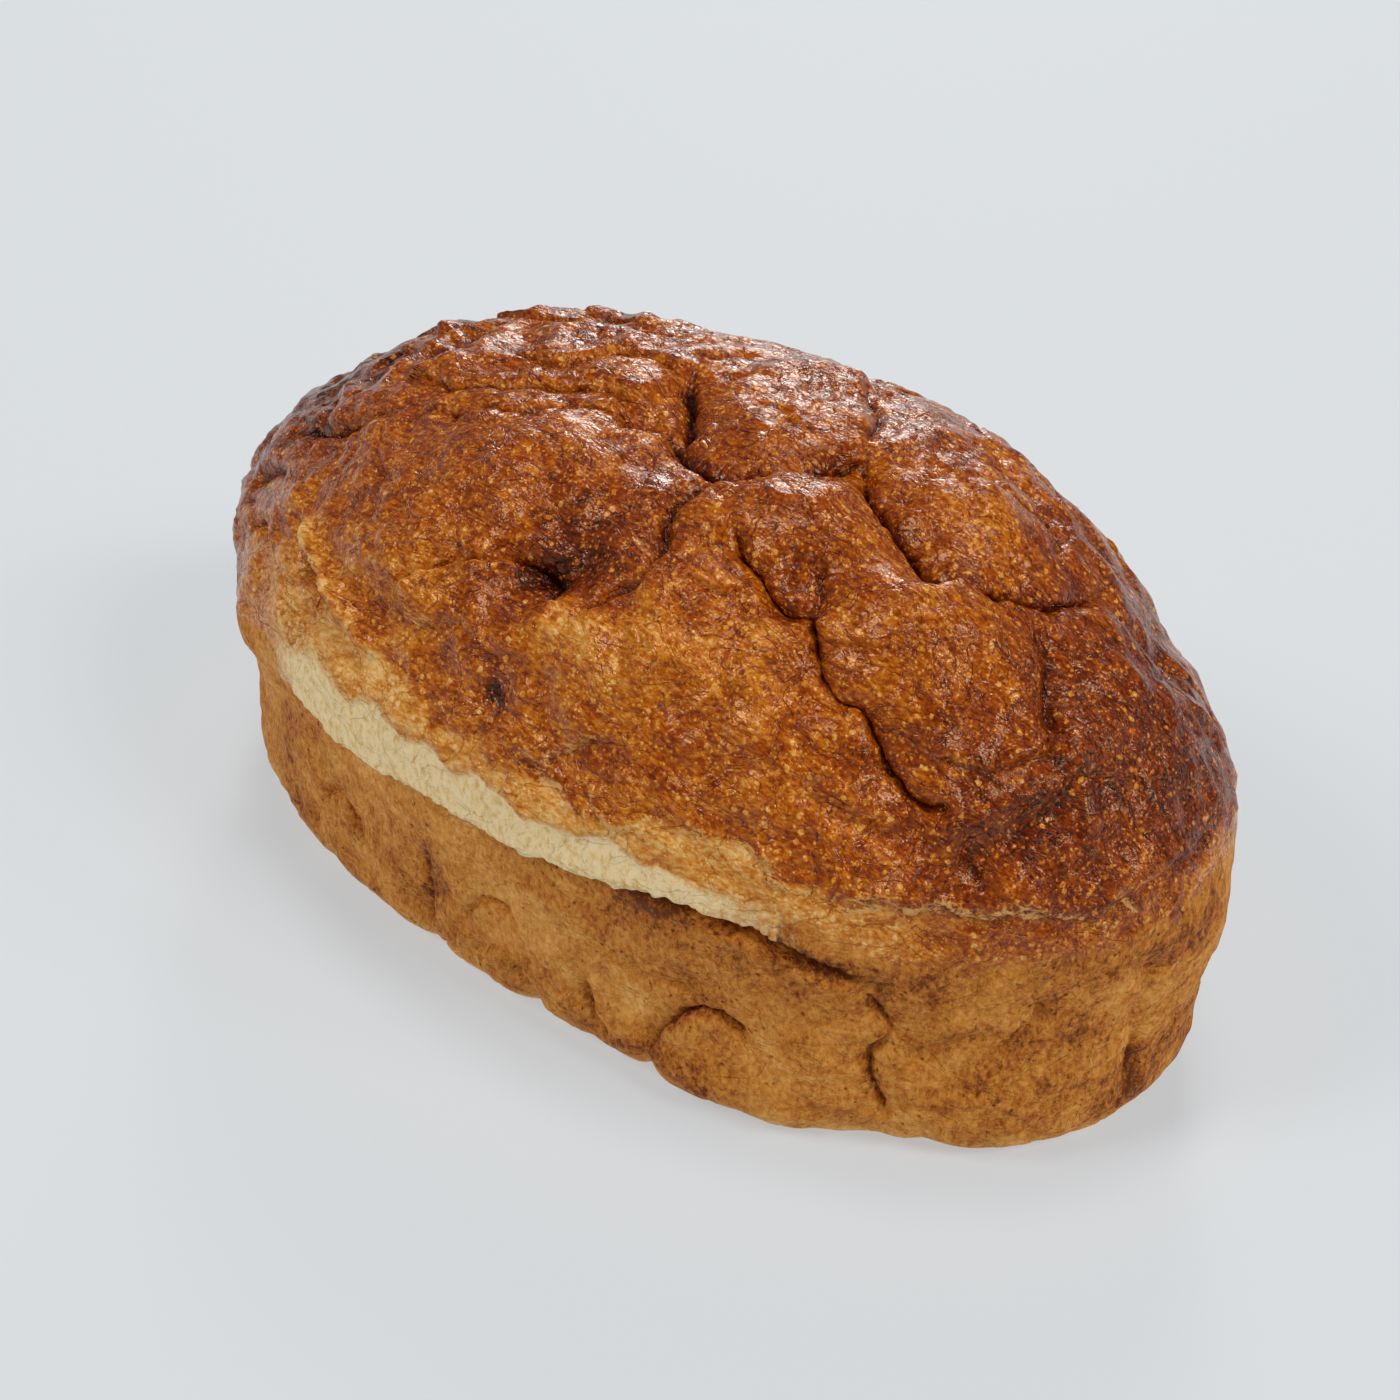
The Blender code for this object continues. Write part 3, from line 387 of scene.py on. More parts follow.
# Seams of the tin side where lobes of dough met, in the same order of values
SIDE_SEAMS = {
    "front_crack": (
        [(86, -47, 43), (90, -45, 38), (92, -44, 31), (90, -46, 24), (91, -45, 17), (95, -43, 7)],
        2.6, 1.2, 0.6, 0.4, -1, 0.6),
    "lobe_arc": (
        [(46, -60, 8), (50, -60, 16), (56, -59, 22), (62, -57, 25), (67, -56, 23), (70, -55, 18)],
        2.2, 1.1, 1.0, 0.4, -1, 0.7),
    "small_ring": (
        [(46, -61, 22), (49, -60, 27), (54, -60, 29), (58, -59, 27), (60, -58, 23)],
        0.9, 1.1, 0.5, 0.2, -1, 0.2),
    "left_arc_high": (
        [(-4, -65, 14), (1, -65, 21), (6, -65, 26), (13, -65, 27), (18, -65, 22)],
        1.5, 1.1, 0.8, 0.3, -1, 0.4),
    "left_arc_low": (
        [(-3, -64, 6), (1, -64, 12), (7, -65, 15), (13, -65, 14), (17, -64, 9)],
        0.9, 1.2, 0.6, 0.2, -1, 0.3),
    "far_left_arc": (
        [(-58, -58, 10), (-52, -60, 20), (-46, -61, 26), (-38, -62, 24), (-34, -62, 16)],
        1.0, 1.6, 0.7, 0.3, -1, 0.3),
    "left_groove": (
        [(-12, -65, 32), (-12, -65, 24), (-13, -64, 16), (-16, -64, 6)],
        1.5, 1.4, 0.6, 0.2, 1, 0.3),
    "middle_groove": (
        [(30, -63, 26), (33, -63, 18), (35, -62, 12), (39, -62, 5)],
        1.8, 1.3, 0.7, 0.3, 1, 0.4),
    "right_slant": (
        [(105, -31, 28), (109, -28, 33), (112, -26, 38), (114, -23, 42), (117, -19, 44),
         (120, -15, 46)],
        2.0, 1.3, 0.9, 0.4, 1, 0.5),
    "right_oval": (
        [(98, -38, 30), (102, -35, 34), (106, -32, 34), (108, -30, 30)],
        0.8, 1.4, 0.5, 0.2, 1, 0.2),
    "end_groove": (
        [(123, -5, 50), (122, -4, 42), (121, -4, 31), (120, -3, 20), (118, -3, 8)],
        1.4, 2.2, 0.8, 0.3, 1, 0.2),
    "end_pinch": (
        [(117, -26, 58), (120, -20, 59), (121, -14, 62), (123, -6, 63), (123, 2, 64),
         (122, 12, 64)],
        1.3, 2.0, 1.2, 0.4, 1, 0.5),
    "back_groove_left": (
        [(-60, 56, 40), (-62, 56, 28), (-60, 56, 16), (-56, 56, 6)],
        1.5, 1.8, 0.7, 0.3, 1, 0.3),
    "back_groove_right": (
        [(48, 60, 36), (50, 59, 24), (47, 60, 14), (50, 59, 5)],
        1.5, 1.8, 0.7, 0.3, -1, 0.3),
    "back_arc": (
        [(-24, 64, 8), (-18, 65, 20), (-8, 66, 27), (2, 65, 24), (6, 64, 14)],
        1.2, 1.5, 0.8, 0.3, 1, 0.3),
    "far_end_groove": (
        [(-121, 10, 46), (-121, 8, 34), (-120, 10, 22), (-118, 8, 8)],
        1.3, 2.0, 0.6, 0.3, 1, 0.2),
}
# Lines where the brown skin broke and shows a pale torn edge, in the same order of values
TORN_EDGES = {
    "right_torn_edge": (
        [(84, -51, 63), (89, -48, 62), (93, -46, 63), (97, -45, 61), (100, -41, 63),
         (104, -38, 62), (107, -36, 61), (110, -32, 62), (115, -27, 62), (118, -24, 58)],
        0.5, 0.9, 0.9, 0.4, 1, 0.4),
    "slot_torn_edge": (
        [(66, -58, 68), (72, -56, 66), (75, -55, 62), (79, -54, 61), (84, -51, 62)],
        0.4, 0.9, 0.8, 0.3, 1, 0.3),
    "blister_low_edge": (
        [(36, -64, 72), (38, -65, 67), (43, -65, 64), (49, -64, 64), (54, -62, 64)],
        0.4, 0.9, 0.8, 0.3, 1, 0.3),
    "blister_ring": (
        [(38, -63, 73), (41, -61, 75), (46, -60, 74), (48, -61, 71), (46, -63, 67)],
        0.3, 0.9, 0.6, 0.2, -1, 0.2),
    "second_blister": (
        [(53, -62, 68), (57, -60, 68), (62, -59, 66), (66, -58, 67)],
        0.3, 0.9, 0.7, 0.2, 1, 0.2),
    "left_blister": (
        [(18, -65, 71), (21, -66, 69), (25, -66, 69), (27, -66, 67), (25, -68, 64)],
        0.4, 0.9, 0.7, 0.3, 1, 0.2),
    "long_front_step": (
        [(41, -60, 78), (33, -62, 75), (28, -64, 72), (27, -66, 69), (30, -67, 65)],
        0.8, 1.2, 0.8, 0.4, -1, 0.3),
    "orange_flap": (
        [(8, -53, 95), (13, -53, 95), (18, -53, 95), (23, -54, 93), (26, -56, 90)],
        0.0, 1.0, 0.8, 0.4, -1, 0.4),
    "pale_strip": (
        [(44, -4, 113), (52, -7, 113), (58, -9, 112), (64, -11, 111)],
        0.0, 1.0, 0.6, 0.3, -1, 0.2),
}
# What all folds share: how far one is felt, how it fades at its ends, the soft valley round it,
# and the skin that rolls over it. Those without MM are in millimetres, or shares.
FOLD_RANGE = 26.0 * MM
FOLD_END = 7.0 * MM
GROOVE_CURVE = 1.6
STEP_PLACE = 0.4
STEP_WIDTH = 1.6
VALLEY_SHARE = 1.2
VALLEY_REACH = 9.0
HIGH_REACH = 9.0
LOW_REACH = 6.0
ROLL_PLACE = 1.2
ROLL_WIDTH = 1.6
LIP_PLACE = 0.9
LIP_WIDTH = 1.1
FULL_DEPTH = 3.0
FULL_RISE = 1.5
SHARP_WIDTH = 1.8
WAVER = [((1.5, 9, 30 + axis), (0.7, 3.2, 34 + axis)) for axis in range(3)]
UNEVEN_DEPTH = (0.6, 13, 41)

# Soft swellings and hollows: centre in millimetres, height, reach
SWELLINGS = [
    ((12, -44, 101), -4.0, 10.5),
    ((-18, -34, 106), 2.6, 17.0),
    ((-22, -54, 87), 2.8, 12.0),
    ((44, -19, 112), 3.6, 13.0),
    ((13, 9, 113), 1.6, 12.0),
    ((37, -52, 92), 2.2, 12.0),
    ((62, 14, 109), 1.6, 12.0),
    ((76, -22, 104), 2.6, 12.0),
    ((96, -38, 68), 0.8, 9.0),
    ((60, -50, 84), 0.8, 10.0),
    ((102, 27, 87), -2.2, 8.0),
    ((94, 19, 96), 1.2, 6.0),
    ((36, 44, 102), -0.9, 12.0),
    ((90, 30, 90), -1.2, 16.0),
    ((-80, 4, 98), 0.8, 4.0),
    ((10, -64, 77), -1.2, 3.2),
    ((6, -51, 96), -1.8, 3.2),
    ((-66, -50, 78), 1.6, 9.0),
    ((-98, -18, 86), -1.2, 12.0),
    ((-88, -10, 94), -1.3, 12.0),
    ((-76, 6, 101), -1.4, 13.0),
    ((-78, -55, 50), 3.0, 11.0),
    ((-86, -48, 20), -0.8, 12.0),
    ((-95, -42, 38), 1.2, 10.0),
    ((-30, 26, 109), -0.7, 24.0),
    ((20, 35, 110), -0.8, 18.0),
    ((-88, 20, 86), -2.0, 20.0),
    ((-106, 10, 76), -2.0, 18.0),
    ((-48, 16, 107), 0.9, 13.0),
    ((-44, 36, 100), -1.4, 20.0),
    ((-4, 42, 104), -1.4, 16.0),
    ((10, 33, 111), 0.9, 3.5),
    ((70, 30, 101), -1.6, 13.0),
    ((88, 36, 86), -1.2, 12.0),
    ((117, 21, 67), 1.0, 10.0),
    ((121, 11, 38), 2.8, 13.0),
    ((118, -5, 9), -0.2, 10.0),
    ((74, -52, 4), 0.8, 9.0),
    ((88, -46, 7), -0.6, 8.0),
]


def bent(points):
    """The points with a small waver, so that lines drawn through them run unevenly."""
    return points + np.stack([waves(points, *parts) for parts in WAVER], -1) * MM


def fold_relief(points, normals, folds):
    """Movement for all folds, how deep in a groove and how near a lip each point is."""
    move = np.zeros_like(points)
    depth_any = np.zeros(len(points))
    lip_any = np.zeros(len(points))
    wavered = bent(points)
    uneven = 1.0 + waves(points, UNEVEN_DEPTH)
    for run, depth, width, rise, fall, side, lean in folds.values():
        line = smooth_line(run)
        low, high = line.min(0) - FOLD_RANGE, line.max(0) + FOLD_RANGE
        close = np.flatnonzero(((points > low) & (points < high)).all(1))
        signed, done, left_over, left = beside_line(wavered[close], normals[close], line)
        ends = smooth(done / FOLD_END) * smooth(left_over / FOLD_END)
        beside = signed * side / MM
        groove = bell(beside, 0.0, width, GROOVE_CURVE) * ends
        step = smooth((beside + STEP_PLACE * width) / (STEP_WIDTH * width))
        skin = rise * bell(np.maximum(beside, 0.0), 0.0, HIGH_REACH, 1) * step
        skin -= fall * bell(np.minimum(beside, 0.0), 0.0, LOW_REACH, 1) * (1.0 - step)
        valley = VALLEY_SHARE * max(depth - 1.0, 0.0) * bell(beside, 0.0, VALLEY_REACH, 1.5)
        lift = (skin - valley) * ends - depth * groove * uneven[close]
        move[close] += normals[close] * (lift * MM)[:, None]
        roll = np.where(beside > 0, bell(beside, ROLL_PLACE, ROLL_WIDTH), 0.0) * ends
        move[close] -= left * (side * lean * roll * MM)[:, None]
        sharpness = min(1.0, (SHARP_WIDTH / width) ** 2)
        strength = np.clip(depth / FULL_DEPTH, 0.0, 1.0) * sharpness
        depth_any[close] = np.maximum(depth_any[close], strength * groove)
        edge = min(rise, FULL_RISE) / FULL_RISE * bell(beside, LIP_PLACE, LIP_WIDTH) * ends
        lip_any[close] = np.maximum(lip_any[close], edge)
    return move, depth_any, lip_any


# The tear along the front, in millimetres: place along the length, lower edge of the crumb, edge
# of the crust above it, how open it is, and depth of the slot under the crumb
FRONT_TEAR = [
    (-126, 47, 54, 0.0, 0), (-98, 45, 53, 0.0, 0), (-86, 45.5, 54, 0.1, 0),
    (-70, 46, 57, 0.1, 0), (-58, 46, 59, 0.3, 0), (-46, 47, 60.5, 0.75, 0),
    (-36, 48, 61.5, 1.0, 0), (-15, 50, 62, 1.0, 0), (0, 51.5, 61.5, 1.0, 0),
    (15, 51, 60, 1.0, 0), (30, 51, 60, 1.0, 0.6), (45, 52, 61, 0.95, 1.6),
    (54, 52, 60, 0.65, 2.6), (62, 52, 58, 0.45, 3.6), (70, 51, 57, 0.35, 4.6),
    (76, 49.5, 56, 0.25, 4.8), (82, 47, 55, 0.15, 3.6), (88, 44.5, 54, 0.0, 1.6),
    (96, 42, 55, 0.0, 0), (126, 46, 55, 0.0, 0)]
BACK_TEAR = [
    (-126, 50, 58, 0.0, 0), (-90, 50, 58, 0.15, 0), (-40, 51, 58, 0.5, 1.0),
    (0, 50, 58, 0.6, 2.0), (40, 50, 57, 0.5, 1.0), (80, 51, 58, 0.25, 0),
    (126, 50, 58, 0.0, 0)]
# The lower edge of the brown skin: place along the length and height, in millimetres
SKIN_EDGE = [
    (-95, 62), (-79, 69), (-52, 70), (-34, 71), (-11, 69), (17, 67), (33, 66), (46, 64.5),
    (52, 67), (57, 69), (70, 68), (76, 63.5), (90, 60), (97, 62), (107, 63), (120, 60)]
BACK_SKIN_EDGE = 62
RAGGED_CRUMB = ((1.4, 9, 3), (0.7, 2.5, 13))
RAGGED_CRUST = ((2.6, 8, 4), (1.4, 3, 14))
RAGGED_SKIN = (3.4, 10, 51)
RAGGED_SKIN_FINE = (2.2, 3.6, 52)
# Steps of the tear as place and length, and swells as middle and width, in millimetres above
# the crumb's lower edge (CRUMB, SLOT), the crust's edge (CRUST) or the skin's edge (SKIN)
CRUMB_RISE = (-0.8, 1.8)
CRUMB_DROP = (0.8, 1.3)
HOLLOW_REACH = 11.0
SLOT_ROOF = -0.8
SLOT_REACH = 2.0
SLOT_RIM_PLACE = (-5.0, 2.6)
SLOT_RETREAT_RISE = (-0.5, 1.5)
SLOT_RETREAT_REACH = 9.0
SLOT_SINK_PLACE = (-1.7, 1.2)
CRUST_RISE = (-0.6, 1.4)
CRUST_FADE = (1.0, 9.0)
CRUST_LONG_FADE = (2.0, 16.0)
SKIN_RISE = (0.0, 0.9)
SKIN_FADE = (1.0, 9.0)
TEAR_STEP = 1.2 * MM
TEAR_HOLLOW = 3.0 * MM
CRUST_LIP = 0.9 * MM
TEAR_DROP = 1.6 * MM
SLOT_RIM = 1.6 * MM
SLOT_SINK = 0.35 * MM
SLOT_RETREAT = 0.4 * MM
SLOT_DEPTH = 1.2
FLAKE_STEP = 0.55 * MM
FULL_SLOT = 6.0
SLOT_HOLD = 0.4
SHOULDER_ROUND = 6.0 * MM
SHOULDER_CUT = 0.9 * MM


def tear_lines(points):
    """Heights of the crumb's lower edge and of the crust's edge, opening and slot, per point."""
    x, y = points[:, 0] / MM, points[:, 1] / MM
    flat = points * np.array([1, 1, 0])
    ragged = waves(flat, *RAGGED_CRUMB)
    ragged_lip = waves(flat, *RAGGED_CRUST)
    values = []
    for table in (FRONT_TEAR, BACK_TEAR):
        along, low, high, opening, slot = np.array(table, float).T
        values.append(np.stack([np.interp(x, along, low) + ragged,
                                np.interp(x, along, high) + ragged_lip,
                                np.interp(x, along, opening), np.interp(x, along, slot)]))
    return np.where(y < 0, values[0], values[1])


def above_skin_edge(points):
    """Height in millimetres above the ragged lower edge of the brown skin."""
    along, height = np.array(SKIN_EDGE, float).T
    flat = points * np.array([1, 1, 0])
    ragged = waves(flat, RAGGED_SKIN) + waves(points, RAGGED_SKIN_FINE)
    front = points[:, 2] / MM - np.interp(points[:, 0] / MM, along, height) - ragged
    return np.where(points[:, 1] < 0, front, points[:, 2] / MM - BACK_SKIN_EDGE - ragged)


def tear_relief(points, normals):
    """Movement for the tear: the crumb stands proud, the wall draws in and the slot goes under."""
    z = points[:, 2] / MM
    edge, lip, opened, slot = tear_lines(points)
    gape = np.clip(slot / FULL_SLOT, 0.0, 1.0)
    held = np.maximum(opened, SLOT_HOLD * gape)
    step = ramp(z - edge, *CRUMB_RISE)
    hollow = (1.0 - step) * bell(z - edge, 0.0, HOLLOW_REACH)
    under = (1.0 - step) * bell(np.minimum(z - edge - SLOT_ROOF, 0.0), 0.0, SLOT_REACH, 3)
    out = held * (TEAR_STEP * step * (1.0 - ramp(z - lip, *CRUST_LONG_FADE)))
    out -= held * TEAR_HOLLOW * hollow + SLOT_DEPTH * slot * under * MM
    out += opened * CRUST_LIP * ramp(z - lip, *CRUST_RISE) * (1.0 - ramp(z - lip, *CRUST_FADE))
    over_skin = above_skin_edge(points)
    out += FLAKE_STEP * ramp(over_skin, *SKIN_RISE) * (1.0 - ramp(over_skin, *SKIN_FADE))
    out += gape * SLOT_RIM * bell(z - edge, *SLOT_RIM_PLACE)
    retreat = ramp(z - edge, *SLOT_RETREAT_RISE) * bell(z - edge, 0.0, SLOT_RETREAT_REACH)
    out -= gape * SLOT_RETREAT * retreat
    move = normals * out[:, None]
    move[:, 2] -= held * TEAR_DROP * bell(z - edge, *CRUMB_DROP)
    move[:, 2] -= slot * SLOT_SINK * bell(z - edge, *SLOT_SINK_PLACE)
    return move


# Notches and undercuts of the lower edge: place along the length in millimetres, side (-1 front,
# +1 back), depth, half width and, for notches, height
NOTCHES = [(-17, -1, 1.8, 3.5, 16), (14, -1, 2.8, 3.5, 16), (29, -1, 2.0, 9.0, 12),
           (44, -1, 3.2, 2.4, 16), (90, -1, 4.0, 9.0, 12), (98, -1, 2.4, 3.0, 13),
           (-52, -1, 1.2, 4.0, 14), (-70, 1, 1.8, 4.0, 14), (-28, 1, 2.2, 4.0, 16),
           (22, 1, 1.8, 3.5, 14), (60, 1, 2.2, 4.0, 16), (100, 1, 1.4, 4.0, 12)]
UNDERCUTS = [(0, -1, 0.8, 26), (56, -1, -1.0, 10), (-10, 1, 1.6, 30)]
UNDERCUT_HEIGHT = 20.0
NOTCH_SLANT = 0.25
NOTCH_CURVE = 1.4
WALL_FADE = (44.0, 10.0)
UNDERSIDE_FADE = (6.0, 10.0)
WALL_WAVES = ((0.9, 30, 5), (0.8, 12, 6))
WALL_CREASE = (1, 11, 43)
WALL_CREASE_WIDTH = 0.05
WALL_CREASE_DEPTH = 0.7
WALL_CRUMPLE = (0.42, 4.5, 7)


def foot_relief(points):
    """Movement sideways for the notches, undercuts, waves and creases of the tin side."""
    x, y, z = (points / MM).T
    sideways = points * np.array([HALF_WIDTH / HALF_LENGTH, 1.0, 0.0])
    sideways /= np.linalg.norm(sideways, axis=1)[:, None] + 1e-9
    out = np.zeros(len(points))
    for at, side, depth, width, height in NOTCHES:
        notch = bell(x, at + NOTCH_SLANT * z, width, NOTCH_CURVE) * bell(z, 0.0, height)
        out -= (y * side > 0) * depth * notch
    for at, side, depth, width in UNDERCUTS:
        low = 1.0 - ramp(z, 0.0, UNDERCUT_HEIGHT)
        out -= (y * side > 0) * depth * bell(x, at, width) * low
    on_wall = 1.0 - ramp(z, *WALL_FADE)
    crease = np.abs(waves(bent(points), WALL_CREASE))
    crumple = waves(points, WALL_CRUMPLE)
    crumple -= WALL_CREASE_DEPTH * bell(crease, 0.0, WALL_CREASE_WIDTH)
    out += (waves(points, *WALL_WAVES) + crumple) * on_wall
    side_share = ramp(np.abs(y), *UNDERSIDE_FADE)
    return sideways * (out * np.maximum(side_share, on_wall * 0.999) * MM)[:, None]


# Fine relief: height, size in millimetres and seed of each wave, and the place and reach of the
# left end's terraces, where the ridges are stronger
TERRACES = ([-66, 6, 98], [46, 40, 30])
TERRACE_RIDGES = (0.6, 0.8)
RIDGE = (3.0, 15, 44)
RIDGE_HEIGHT = 0.6
LUMP = (1.0, 24, 1)
WAVERED_LUMP = (0.9, 10, 2)
SMALL_LUMP = (0.65, 5, 9, (1.6, 0.8, 1))
SMALLEST_LUMP = (0.35, 2.6, 10)
SKIN_CREASE = (1, 9, 45)
SKIN_CREASE_WIDTH = 0.07
SKIN_CREASE_DEPTH = 0.9
WHERE_CREASED = (3, 20, 46)
TORN_CRUMB = ((0.5, 3.4, 11, (1.6, 1, 0.8)), (0.3, 1.7, 12))
TIN_GRAIN = (0.22, 2.0, 15, (1, 1, 2.5))


def skin_relief(points, crumb, tin):
    """Lumps and wrinkles of the skin, fibres of the torn crumb and grain of the tin side."""
    wavered = bent(points)
    middle, reach = TERRACES
    terraced = bell(np.linalg.norm((points / MM - middle) / reach, axis=1), 0.0, 1.0, 4)
    plain, stronger = TERRACE_RIDGES
    lumps = waves(points, LUMP) + waves(wavered, WAVERED_LUMP)
    ridged = RIDGE_HEIGHT - np.abs(waves(wavered, RIDGE))
    lumps += (plain + stronger * terraced) * ridged
    lumps += waves(wavered, SMALL_LUMP) + waves(points, SMALLEST_LUMP)
    creased = smooth(waves(points, WHERE_CREASED) + 0.4)
    crease = np.abs(waves(wavered, SKIN_CREASE))
    lumps -= SKIN_CREASE_DEPTH * creased * bell(crease, 0.0, SKIN_CREASE_WIDTH)
    torn = waves(points, *TORN_CRUMB)
    grain = waves(points, TIN_GRAIN)
    return lumps * (1 - crumb) * (1 - tin) + torn * crumb + grain * tin


def patches(points, table):
    """Soft round patches laid over each other: centre in millimetres, amount and reach."""
    total = np.zeros(len(points))
    for centre, amount, reach in table:
        gap = np.linalg.norm(points - np.array(centre) * MM, axis=1) / MM
        total += amount * bell(gap, 0.0, reach)
    return total


along, across, up = GRID
box, faces, foot_loop = box_grid(along, across, up)
loaf_mesh = bpy.data.meshes.new("loaf_visible")
loaf_mesh.from_pydata(box.tolist(), [], faces.tolist() + [foot_loop])
form = loaf_form(box)
set_points(loaf_mesh, form)
normals = surface_normals(loaf_mesh)

# The grid is made finer along the folds and the tear, where the skin bends most
FINER_SHARES = ((FOLDS, 1.0), (SIDE_SEAMS, 0.6), (TORN_EDGES, 0.5))
FINER_LIP = 0.6
FINER_TEAR = 0.45
FINER_OPENING = 0.3
FINER_BAND = 3
LEAST_NEED = 0.02
need = np.zeros(len(form))
for folds, share in FINER_SHARES:
    _, deep, near_lip = fold_relief(form, normals, folds)
    need = np.maximum(need, share * np.maximum(deep, FINER_LIP * near_lip))
edge, lip, opened, slot = tear_lines(form)
z_mm = form[:, 2] / MM
gaping = np.maximum(opened, slot / FULL_SLOT) > FINER_OPENING
at_tear = (form[:, 1] < 0) & gaping & (np.abs(z_mm - edge) < FINER_BAND)
need = np.maximum(need, FINER_TEAR * at_tear)
face_need = need[faces].min(1)
least = np.sort(face_need)[-FINER_FACES]
set_points(loaf_mesh, box)
shape = bmesh.new()
shape.from_mesh(loaf_mesh)
shape.faces.ensure_lookup_table()
finer = {edge_line for k in np.flatnonzero(face_need >= max(least, LEAST_NEED))
         for edge_line in shape.faces[k].edges}
bmesh.ops.subdivide_edges(shape, edges=list(finer), cuts=1, use_grid_fill=True)
shape.to_mesh(loaf_mesh)
shape.free()

box = get_points(loaf_mesh)
form = loaf_form(box)
set_points(loaf_mesh, form)
normals = surface_normals(loaf_mesh)
z_mm = form[:, 2] / MM
edge, lip, opened, slot = tear_lines(form)
side_x = form[:, 0] / MM
# Where the crumb and the tin side end: softly at the left, where the tear thins out
CRUST_BLUR = ([-80, -35, -10], [9.0, 5.0, 2.0])
CRUMB_START = (-0.6, 0.8)
OPENING_GAIN = 1.9
OPENING_LOSS = 0.15
SEAM_OPENING = 0.25
SEAM_ABOVE_EDGE = 5.0
SEAM_WAVES = (2.0, 12, 16)
SEAM_SHARP = 1.2
SEAM_SOFT = 7.0
blur = np.interp(side_x, *CRUST_BLUR)
crumb = ramp(z_mm - edge, *CRUMB_START) * (1 - ramp(z_mm - lip, -0.5 * blur, blur))
crumb *= smooth(opened * OPENING_GAIN - OPENING_LOSS)
is_open = opened > SEAM_OPENING
seam = np.where(is_open, edge, edge + SEAM_ABOVE_EDGE + waves(form, SEAM_WAVES))
tin = 1.0 - ramp(z_mm - seam, -1.0, np.where(is_open, SEAM_SHARP, SEAM_SOFT))

# All relief is added to the smooth form, each kind only where it belongs
TOP_FADE = (58.0, 12.0)
TEAR_FADE = (20.0, 10.0)
SKIN_START = (0, 8)
SWELL_START = (0, 3)
SEAM_START = (0, 10)
above = ramp(z_mm, *TOP_FADE)
top_move, deep_top, lip_top = fold_relief(form, normals, FOLDS)
torn_move, _, lip_torn = fold_relief(form, normals, TORN_EDGES)
swell = skin_relief(form, crumb, tin) * ramp(z_mm, *SKIN_START)
swell += patches(form, SWELLINGS) * ramp(z_mm, *SWELL_START)
shaped = form + top_move * above[:, None] + torn_move + normals * (swell * MM)[:, None]
rounding = bell(form[:, 2], TIN_HEIGHT + SHOULDER, SHOULDER_ROUND)
shaped -= normals * (SHOULDER_CUT * rounding)[:, None]
shaped += tear_relief(form, normals) * ramp(z_mm, *TEAR_FADE)[:, None]
side_move, deep_side, lip_side = fold_relief(form, normals * [1, 1, 0], SIDE_SEAMS)
side_move[:, 2] *= ramp(z_mm, *SEAM_START)
shaped += side_move
shaped += foot_relief(form)
shaped[form[:, 2] < 1e-7, 2] = 0.0
shaped[:, 2] = np.maximum(shaped[:, 2], 0.0)
set_points(loaf_mesh, shaped)

# How brown the skin is, with some painted shade: 0 is pale, 1 is the dark right end. Centre in
# millimetres, more or less brown, reach
BROWNING_AND_SHADE = [
    ((-18, -32, 106), 0.11, 22.0),
    ((-24, -56, 86), -0.10, 14.0),
    ((34, -54, 90), -0.10, 14.0),
    # Painted shade in the deep hollow at the front of the dome
    ((12, -44, 100), 0.10, 11.0),
    ((14, 6, 113), 0.03, 18.0),
    ((104, 8, 92), 0.16, 24.0),
    ((108, -26, 76), 0.20, 20.0),
    ((122, 10, 68), 0.20, 20.0),
    ((-100, -20, 80), 0.22, 26.0),
    ((-50, 10, 106), 0.06, 26.0),
    ((46, -16, 112), 0.09, 18.0),
    ((60, -44, 96), -0.05, 14.0),
    ((-62, -54, 74), -0.12, 12.0),
    # Painted shade in two small pits: one above the crumb, one at the front of the dome
    ((10, -64, 77), 0.42, 2.8),
    ((6, -50, 96), 0.30, 5.0),
    ((18, -54, 92), -0.26, 4.5),
    ((25, -55, 92), -0.20, 4.0),
    ((106, -36, 50), 0.10, 10.0),
    ((-58, -54, 79), -0.34, 3.2),
    ((-49, -58, 77), -0.30, 3.0),
    ((-41, -60, 76), -0.30, 3.0),
    ((-31, -64, 73), -0.28, 3.0),
    ((-22, -66, 71), -0.20, 3.0),
]
PLAIN_BROWN = 0.575
BROWN_WAVES = (0.07, 16, 20)
BROWN_WAVES_FINE = (0.05, 6, 21)
SHADE_IN_HOLLOWS = 0.05
SKIN_EDGE_BLUR = ([-70, -30, 0], [9.0, 4.0, 0.8])
PALENESS = ([-100, -72, -58, -40, 0, 60, 90, 112],
            [0.02, 0.06, 0.24, 0.32, 0.27, 0.27, 0.22, 0.06])
BACK_PALENESS = 0.22
EDGE_PALENESS = 0.07
EDGE_PALE_REACH = 7.0
brown = PLAIN_BROWN + patches(form, BROWNING_AND_SHADE)
brown += waves(form, BROWN_WAVES) + waves(bent(form), BROWN_WAVES_FINE)
# Painted shade: darker in the hollows of the relief and a little paler on its lumps
brown -= SHADE_IN_HOLLOWS * np.clip(swell, -3, 1) * above
over_skin = above_skin_edge(form)
sharp = np.interp(side_x, *SKIN_EDGE_BLUR)
paleness = np.where(form[:, 1] < 0, np.interp(side_x, *PALENESS), BACK_PALENESS)
brown -= paleness * (1 - ramp(over_skin, -0.3 * sharp, sharp))
brown -= EDGE_PALENESS * bell(np.maximum(over_skin, 0), 0, EDGE_PALE_REACH, 1.5)
